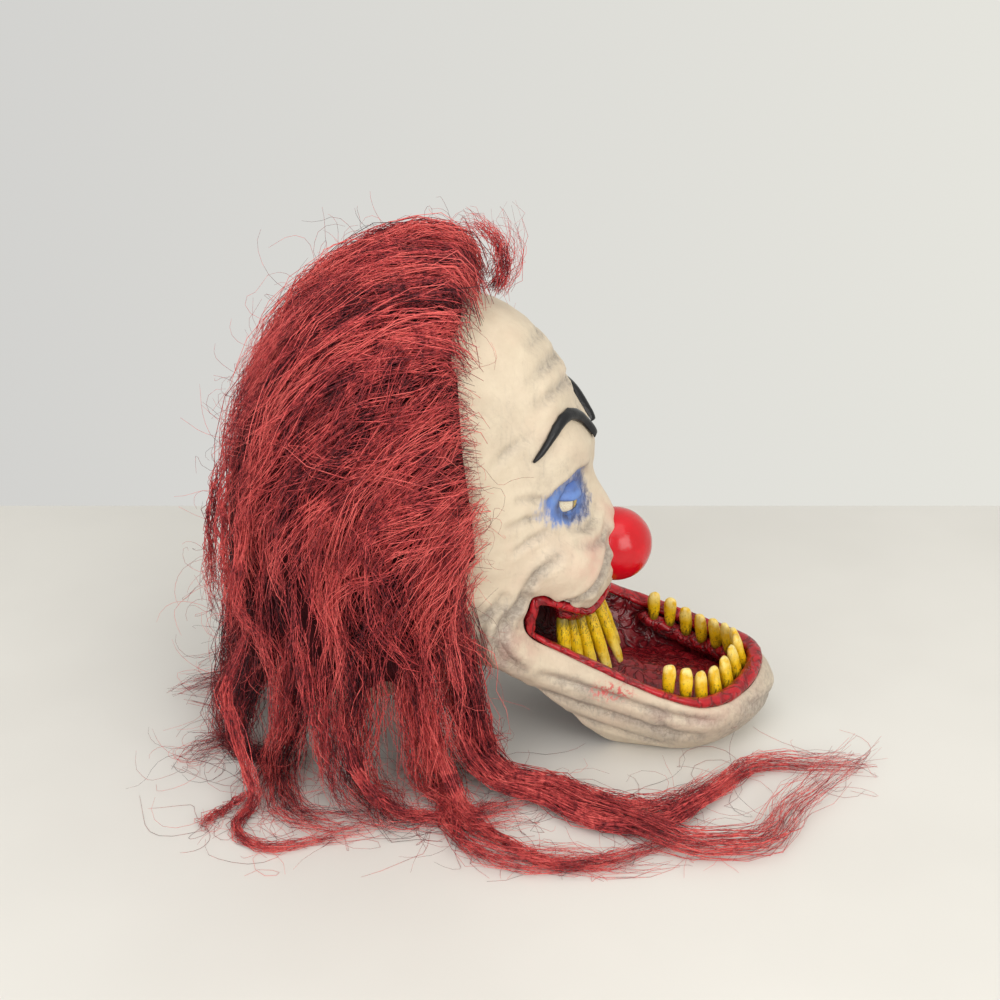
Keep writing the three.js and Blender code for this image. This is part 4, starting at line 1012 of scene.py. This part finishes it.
class Strands:
    """Strands gathered for one piece, each a line of points with its thickness and tone."""

    def __init__(self):
        self.lines = []

    def add(self, points, radius, tone, taper=0.35):
        """One strand, less what would run inside the head or outside the space it may fill."""
        low = np.array(cad_box[0]) - BOX_SPARE
        high = np.array(cad_box[1]) + BOX_SPARE
        low[2] = -BOX_SPARE
        fits = np.all((points > low) & (points < high), axis=1)
        shown = [order for order, point in enumerate(points) if fits[order] and not under_skin(Vector(point))]
        if len(shown) < 4:
            return
        stop = next((order for order in range(shown[0], len(points)) if not fits[order]), shown[-1] + 1)
        points = points[shown[0]:stop]
        if len(points) < 4:
            return
        points[:, 2] = np.maximum(points[:, 2], radius * MM)
        shares = np.linspace(0, 1, len(points))
        radii = radius * MM * (1 - (1 - taper) * shares ** 3) * np.minimum(1, 0.55 + 4 * shares)
        self.lines.append((points, radii, tone))

    def lock(self, line, girth, count, points, tone, spread=1.0, loose=1.0, radius=STRAND_RADIUS,
             since=(0.0, 0.12), until=(0.72, 1.0)):
        """count strands round a line: close together in the middle and looser towards the tips."""
        for _ in range(count):
            start = chance.uniform(*since)
            stop = chance.uniform(*until)
            path = resampled(line, points, stop, start)
            first, second = side_ways(path)
            shares = np.linspace(start, stop, points)
            angle = chance.uniform(0, 2 * math.pi)
            away = girth * MM * math.sqrt(chance.uniform(0, 1))
            twist = angle + chance.uniform(-1.2, 1.2) * shares
            width = away * (spread * (1 - shares) ** 2 + 0.75 + loose * 0.8 * shares ** 4)
            offset = first * (width * np.cos(twist))[:, None] + second * (width * np.sin(twist))[:, None]
            sway = np.zeros(points)
            lift = np.zeros(points)
            for turns in (2.3, 4.6, 7.4):
                phase = chance.uniform(0, 2 * math.pi, 2)
                strength = chance.normal(0, 1.5 * MM / turns ** 0.5, 2) * (1 + 0.06 * girth)
                sway += strength[0] * np.sin(turns * 2 * math.pi * shares + phase[0])
                lift += strength[1] * np.sin(turns * 2 * math.pi * shares + phase[1])
            offset += first * sway[:, None] + second * lift[:, None]
            offset += chance.normal(0, 1.7 * MM, (points, 3)) * (0.4 + shares)[:, None]
            offset[:, 2] *= np.where(path[:, 2] < 40 * MM, 0.6, 1.0)
            # Strands near a lock's middle are darker and those at its edge lighter: painted shade.
            shade = tone + chance.normal(0, 0.11) + 0.14 * (away / (girth * MM) - 0.6)
            self.add(path + offset, radius * chance.uniform(0.75, 1.2), shade)

    def piece(self, name, paint):
        """All strands as one mesh of three-sided fibres."""
        corner = bpy.data.curves.new("fibre_section", "CURVE")
        corner.dimensions = "2D"
        outline = corner.splines.new("POLY")
        outline.points.add(2)
        for point, turn in zip(outline.points, (0, 1, 2)):
            angle = 2 * math.pi * turn / 3
            point.co = (math.cos(angle), math.sin(angle), 0, 1)
        outline.use_cyclic_u = True
        section = bpy.data.objects.new("fibre_section", corner)
        curve = bpy.data.curves.new(name, "CURVE")
        curve.dimensions = "3D"
        curve.bevel_mode = "OBJECT"
        curve.bevel_object = section
        curve.twist_mode = "MINIMUM"
        for points, radii, _ in self.lines:
            fibre = curve.splines.new("POLY")
            fibre.points.add(len(points) - 1)
            fibre.points.foreach_set("co", np.column_stack([points, np.ones(len(points))]).ravel())
            fibre.points.foreach_set("radius", radii)
        holder = bpy.data.objects.new(name + "_curves", curve)
        bpy.context.scene.collection.objects.link(holder)
        graph = bpy.context.evaluated_depsgraph_get()
        mesh = bpy.data.meshes.new_from_object(holder.evaluated_get(graph))
        tones = np.concatenate([np.full(3 * len(points), tone) for points, _, tone in self.lines])
        along = np.concatenate([np.repeat(np.linspace(0, 1, len(points)), 3) for points, _, _ in self.lines])
        mesh.attributes.new("shade", "FLOAT", "POINT").data.foreach_set("value", tones)
        mesh.attributes.new("along", "FLOAT", "POINT").data.foreach_set("value", along)
        form = bmesh.new()
        form.from_mesh(mesh)
        bmesh.ops.holes_fill(form, edges=[edge for edge in form.edges if edge.is_boundary], sides=3)
        bmesh.ops.recalc_face_normals(form, faces=form.faces)
        form.to_mesh(mesh)
        form.free()
        bpy.data.objects.remove(holder)
        bpy.data.objects.remove(section)
        bpy.data.curves.remove(curve)
        return placed(name, mesh, paint, "hair_burgundy", "hair")


# How far forward the hair reaches at each height of the head's side
EDGE_HEIGHTS = [74, 115, 176, 187, 216, 260, 301, 333, 354]
EDGE_REACHES = [-46, -34, -22, -7, -9, -15, -18, -19, -8]


def hair_edge(up):
    return float(np.interp(up, EDGE_HEIGHTS, EDGE_REACHES))


def hairline():
    """Roots along the hair's edge on the skin, each with the first place that its hair runs over."""
    edge = []
    for order in range(-36, 37):
        turn = math.radians(order * 3.2)
        outwards = Vector((math.sin(turn), 0, math.cos(turn)))
        forward = 0
        for _ in range(3):
            root = skin_tree.ray_cast(at(forward, 0, 200) + outwards * 0.25, -outwards)[0]
            if root is None:
                break
            forward = hair_edge(root.z / MM) + chance.uniform(-4, 2)
        crest = dome_tree.ray_cast(at(forward - 12, 0, 200) + outwards * 0.25, -outwards)[0]
        if root is not None and crest is not None and root.z > 70 * MM:
            edge.append((root - outwards * MM, crest))
    return edge


def lock_line(lock):
    """A lock's path: out of the hair, down to the table and along it with a bow and a wave."""
    return waved(straight_lock(lock))


def straight_lock(lock):
    """The same path before the hair's loose wave."""
    def place(pair, up):
        return np.array([pair[0] * HAIR_BACK, pair[1] * HAIR_HALF_WIDTH, up])
    rest = LOCK_RADIUS * lock.girth * 0.55
    root = place(lock.root, lock.rise * HAIR_TOP)
    landing = place(lock.landing, rest)
    end = place(lock.end, rest * 0.5)
    along = end - landing
    across = np.array([-along[1], along[0], 0])
    across = across / np.linalg.norm(across)
    fall = root + (landing - root) * 0.6
    fall[2] = max(2.2 * rest, root[2] * 0.4)
    path = [root, fall]
    for share in (0, 0.2, 0.4, 0.6, 0.8, 1):
        sway = lock.bow * math.sin(math.pi * share ** 0.8) + lock.wave * math.sin(2.6 * math.pi * share)
        path.append(landing + along * share + across * sway * HAIR_HALF_WIDTH)
    return placed_line(path)


def placed_line(places):
    return rounded_line(np.array([at(*place)[:] for place in places]))


lock_lines = [lock_line(lock) for lock in LOCKS]


def dome_starts(count):
    """Places spread evenly over the hair's outer form, above its loose ends."""
    starts = []
    for order in range(count):
        rise = 1 - 2 * (order + 0.5) / count
        turn = order * math.pi * (3 - math.sqrt(5)) + chance.uniform(-0.15, 0.15)
        level = math.sqrt(1 - rise * rise)
        way = Vector((level * math.cos(turn), level * math.sin(turn), rise))
        place = dome_tree.ray_cast(at(-80, 0, 200), way)[0]
        if place is None or place.z < LOOSE_HEIGHT * MM or under_skin(place):
            continue
        behind = (FORWARD_SHIFT - place.y) / MM < hair_edge(place.z / MM) - 2 or place.z > 352 * MM
        if behind and skin_tree.find_nearest(place)[3] > 2 * MM:
            starts.append(place)
    return starts


def curl(start, way, length, points, bend):
    """A free hair that leaves along a way and bends as it goes."""
    line = [start]
    heading = way.normalized()
    axis = Vector(chance.normal(0, 1, 3)).normalized()
    for _ in range(points - 1):
        axis = (axis + Vector(chance.normal(0, 0.35, 3))).normalized()
        heading = (heading + axis.cross(heading) * bend + Vector((0, 0, -0.05))).normalized()
        line.append(line[-1] + heading * length * MM / points)
    return np.array([point[:] for point in line])


Guide = namedtuple("Guide", "place root length layer sink size")
DOME_GUIDES = 520
WILD_HAIRS = 2000
LYING_HAIRS = 300


def cap_guides(edge):
    """Where lines of hair start and how they run: along the hairline, then all over the hair's outer form."""
    guides = []
    for root, crest in edge:
        for longest in (430, 330, 210, 300, 200)[:5 if root.z > 300 * MM else 3]:
            length = chance.uniform(0.6, 1.0) * longest
            raised = root.lerp(crest, chance.uniform(0, 0.5))
            guides.append(Guide(crest, raised, length, chance.uniform(-8, 1), 3.0, 0.75))
    for place in dome_starts(DOME_GUIDES):
        length = chance.choice((0.45, 1.0)) * chance.uniform(200, 430)
        guides.append(Guide(place, None, length, chance.uniform(-15, 3), 8.0, 1.0))
    return guides


def grow_cap(guides):
    """The hair that covers the head, shared out over four pieces, and the lines that it follows."""
    pieces = [Strands() for _ in range(4)]
    lines = []
    for order, guide in enumerate(guides):
        near, normal, _, _ = dome_tree.find_nearest(guide.place)
        behind = float(np.interp((guide.place.y - FORWARD_SHIFT) / MM, [60, 150], [0, 1]))
        high = float(np.interp(guide.place.z / MM, [240, 340], [0, 1]))
        layer = guide.layer + (4 - 12 * behind) + 9 * lumps(near, 38)
        start = near + normal * (layer - guide.sink) * MM
        line = flow_line(start, guide.root, guide.length, layer, guide.sink, chance.normal(0, 13))
        # Strands lying deeper under the hair's outer form are darker: painted shade.
        tone = 0.65 + 0.24 * chance.normal() + 0.034 * layer - 0.17 * high
        points = int(np.clip(guide.length / 30 + 4, 7, 15))
        girth = chance.uniform(4, 12) * guide.size
        pieces[order % 4].lock(line, girth, int(chance.integers(10, 19)), points, tone)
        lines.append(line)
    for order, strands in enumerate(pieces):
        strands.piece(f"hair_cap_{order + 1}", cap_paint)
    return lines


def grow_locks():
    """The locks that reach the table, the thin ones and the tuft, and the lines of the locks."""
    falls = Strands()
    lines = []
    for lock in LOCKS:
        lines.append(lock_line(lock))
        falls.lock(lines[-1], LOCK_RADIUS * lock.girth * 0.82, lock.strands, 19, 0.68, 0.3, 0.9)
    for lock in THIN_LOCKS:
        lines.append(placed_line(lock.line))
        falls.lock(lines[-1], lock.girth, lock.strands, 17, 0.62, 0.2, 1.2, 0.32, since=(0.0, 0.25))
    tuft = placed_line([(-6, -12, 350), (2, -10, 368), (-2, -8, 386), (-14, -7, 398), (-28, -6, 404)])
    falls.lock(tuft, 4.5, 60, 10, 0.52, 0.6, 1.2, 0.27, until=(0.7, 1.0))
    wisps = placed_line([(-6, -6, 350), (8, -4, 372), (6, 0, 392), (-4, 4, 408)])
    falls.lock(wisps, 10.0, 45, 9, 0.6, 0.8, 1.4, 0.18, until=(0.4, 1.0))
    falls.piece("hair_locks", lock_paint)
    return lines


def grow_wild(edge, lines):
    """Single hairs that stray from the lines, some from their ends, and short ones along the hairline."""
    wild = Strands()
    for order in range(WILD_HAIRS):
        lying = order > WILD_HAIRS - LYING_HAIRS
        if lying:
            line = lines[-int(chance.integers(3, 3 + len(THIN_LOCKS) + len(LOCKS)))]
        else:
            line = lines[int(chance.integers(len(lines)))]
        point = Vector(line[int(chance.integers(len(line) // 2 if lying else 1, len(line)))])
        normal = dome_tree.find_nearest(point)[1]
        low = point.z < 30 * MM
        way = Vector(chance.normal(0, 1, 3)) * 0.6 + (Vector((0, 0, 0.05)) if low else normal * 0.35)
        if low:
            way.z = abs(way.z) * 0.15
        hair = curl(point, way, chance.uniform(30, 130 if low else 75), 9, chance.uniform(0.3, 0.9))
        if low:
            hair[:, 2] = np.maximum(0.3 * MM, hair[:, 2] * 0.4)
        wild.add(hair, 0.13, 0.5 + 0.22 * chance.normal(), 0.6)
    for root, crest in edge:
        for _ in range(5):
            stray = Vector((0, chance.uniform(-0.5, 0.8), chance.uniform(-0.5, 0.2)))
            way = (crest - root).normalized() * 0.7 + stray
            start = root.lerp(crest, chance.uniform(0, 0.7))
            wild.add(curl(start, way, chance.uniform(8, 26), 7, 0.6), 0.12, 0.6, 0.6)
    wild.piece("hair_flyaways", lock_paint)


UNDER_HAIR_FOOT = 96 * MM
UNDER_HAIR_TOP = 366 * MM


def under_hair_form():
    """The matted body under the locks: the moulded hair without its loose locks, drawn in."""
    form = cad_form("hair")
    sliced(form, (0, 0, UNDER_HAIR_FOOT), (0, 0, 1))
    bmesh.ops.holes_fill(form, edges=[edge for edge in form.edges if edge.is_boundary], sides=0)
    bmesh.ops.triangulate(form, faces=form.faces)
    bmesh.ops.subdivide_edges(form, edges=form.edges[:], cuts=2, use_grid_fill=True)
    form.normal_update()
    for vertex in form.verts:
        ahead = (FORWARD_SHIFT - vertex.co.y) / MM
        edge = hair_edge(vertex.co.z / MM) - (14 if vertex.co.z > 310 * MM else 10)
        if ahead > edge:
            vertex.co.y = FORWARD_SHIFT - edge * MM
        away = skin_tree.find_nearest(vertex.co)[3]
        if away > 2.5 * MM:
            centre = Vector((SIDE_SHIFT, FORWARD_SHIFT + 70 * MM, min(vertex.co.z, 260 * MM)))
            vertex.co += (centre - vertex.co).normalized() * min(away, 9 * MM)
        if vertex.co.z < 112 * MM:
            vertex.co.z += 20 * noise.noise(vertex.co / (16 * MM)) * MM
        vertex.co.z = min(vertex.co.z, UNDER_HAIR_TOP)
    return form


# The mask
skin_paint = latex_skin_paint()
lip_paint = wet_paint("lip_red", (0.46, 0.010, 0.018), (0.16, 0.004, 0.008), 0.15, 12)
mouth_paint = wet_paint("mouth_maroon", (0.20, 0.010, 0.016), (0.055, 0.003, 0.006), 0.16, 12)
tongue_paint = wet_paint("tongue_red", (0.27, 0.012, 0.018), (0.09, 0.004, 0.008), 0.18, 8)
gum_paint = wet_paint("gum_red", (0.34, 0.008, 0.015), (0.09, 0.003, 0.006), 0.13, 6)
cap_paint = hair_paint("hair_fibre")
lock_paint = hair_paint("hair_lock_fibre", 0.02)

finished("skin", sculpt_head(), skin_paint, "latex_skin", "mask_skin")
finished("lip_rim", lip_form(), lip_paint, "lip_red", "lips")
finished("lining", lining_form(), mouth_paint, "mouth_maroon", "mouth_lining")
finished("tongue_mound", tongue_form(), tongue_paint, "mouth_maroon", "tongue")
enamel = tooth_paint()
for row_name, upright in (("lower", 1), ("upper", -1)):
    teeth, tooth_roots = tooth_row(row_name, upright)
    finished(f"{row_name}_teeth", teeth, enamel, "tooth_yellow", *TEETH[row_name])
    gum = gum_form(f"{row_name}_gum", tooth_roots)
    finished(f"{row_name}_gum_flesh", gum, gum_paint, "gum_red", f"{row_name}_gum")
finished("nose_ball", nose_form(), nose_paint(), "nose_red", "nose")
black = brow_paint()
for name, hand in (("right", -1), ("left", 1)):
    centre = eye_centre(f"eye_{name}", hand)
    ball = ball_form(centre, EYE_RADIUS - 0.2, 48, 28)
    finished(f"eyeball_{name}", ball, eye_paint(f"eye_{name}", centre), "eye_paint", f"eye_{name}")
    brow = lumpy(rounded(cad_form(f"eyebrow_{name}"), 2), 0.25, 6)
    finished(f"brow_{name}", brow, black, "brow_black", f"eyebrow_{name}")
    for lid, rise, level in (("upper", 1, 3.6), ("lower", -1, 7.0)):
        keep = Vector((0, -0.1, rise)).normalized()
        finished(f"{lid}_lid_{name}", lid_form(centre, keep, level), skin_paint, "latex_skin")
finished("hair_underlayer", under_hair_form(), under_hair_shade_paint(), "hair_burgundy", "hair")
edge_roots = hairline()
cap_lines = grow_cap(cap_guides(edge_roots))
grow_wild(edge_roots, cap_lines + grow_locks())
dome.free()
skin_form.free()

# Table, light and camera
floor_form = bmesh.new()
bmesh.ops.create_grid(floor_form, x_segments=1, y_segments=1, size=1.0)
bmesh.ops.scale(floor_form, verts=floor_form.verts, vec=(1.5, 3.0, 1.0))
bmesh.ops.translate(floor_form, verts=floor_form.verts, vec=(SIDE_SHIFT + 0.389 - 1.5, FORWARD_SHIFT, 0))
floor_mesh = bpy.data.meshes.new("table")
floor_form.to_mesh(floor_mesh)
floor_form.free()
table_paint = Paint("table_white")
mottle = table_paint.grain(260, 3)
table_colour = table_paint.mix(mottle.between(0.3, 0.7), (0.75, 0.735, 0.70), (0.71, 0.695, 0.66))
floor_mesh.materials.append(table_paint.finish(table_colour, 0.55, mottle, 0.3))
table = bpy.data.objects.new("table", floor_mesh)
bpy.context.scene.collection.objects.link(table)

world = bpy.data.worlds.new("room")
bpy.context.scene.world = world
world.use_nodes = True
room = world.node_tree
way_in = room.nodes.new("ShaderNodeTexCoord")
split = room.nodes.new("ShaderNodeSeparateXYZ")
wall = room.nodes.new("ShaderNodeValToRGB")
wall.color_ramp.elements[0].color = (1.13, 1.12, 1.04, 1)
wall.color_ramp.elements[1].color = (0.92, 0.915, 0.89, 1)
shift = room.nodes.new("ShaderNodeMapRange")
shift.inputs["From Min"].default_value = -0.35
shift.inputs["From Max"].default_value = 0.35
room.links.new(way_in.outputs["Generated"], split.inputs[0])
room.links.new(split.outputs["Y"], shift.inputs["Value"])
room.links.new(shift.outputs[0], wall.inputs[0])
backdrop = room.nodes["Background"]
backdrop.inputs["Strength"].default_value = 0.7
room.links.new(wall.outputs[0], backdrop.inputs["Color"])


def soft_light(name, place, target, size, power, colour):
    """A rectangular lamp turned to its target."""
    light = bpy.data.lights.new(name, "AREA")
    light.shape = "RECTANGLE"
    light.size, light.size_y = size
    light.energy = power
    light.color = colour
    lamp = bpy.data.objects.new(name, light)
    lamp.location = place
    lamp.rotation_euler = (Vector(target) - Vector(place)).to_track_quat("-Z", "Y").to_euler()
    bpy.context.scene.collection.objects.link(lamp)


middle = at(0, 0, 150)
soft_light("overhead", at(60, -420, 1250), middle, (1.0, 0.8), 3.4, (1, 0.97, 0.93))
soft_light("front", at(1150, -1900, 1250), middle, (1.4, 1.4), 24, (1, 0.97, 0.93))
soft_light("fill", at(-1200, -1700, 1000), middle, (1.4, 1.4), 15, (1, 0.98, 0.96))

lens = bpy.data.cameras.new("camera")
lens.sensor_width = 36
lens.lens = 52.2
camera = bpy.data.objects.new("camera", lens)
camera.location = at(0, -979, 644.4)
camera.rotation_euler = (at(0, 0, 188) - camera.location).to_track_quat("-Z", "Y").to_euler()
bpy.context.scene.collection.objects.link(camera)
bpy.context.scene.camera = camera
bpy.context.scene.view_settings.view_transform = "Standard"
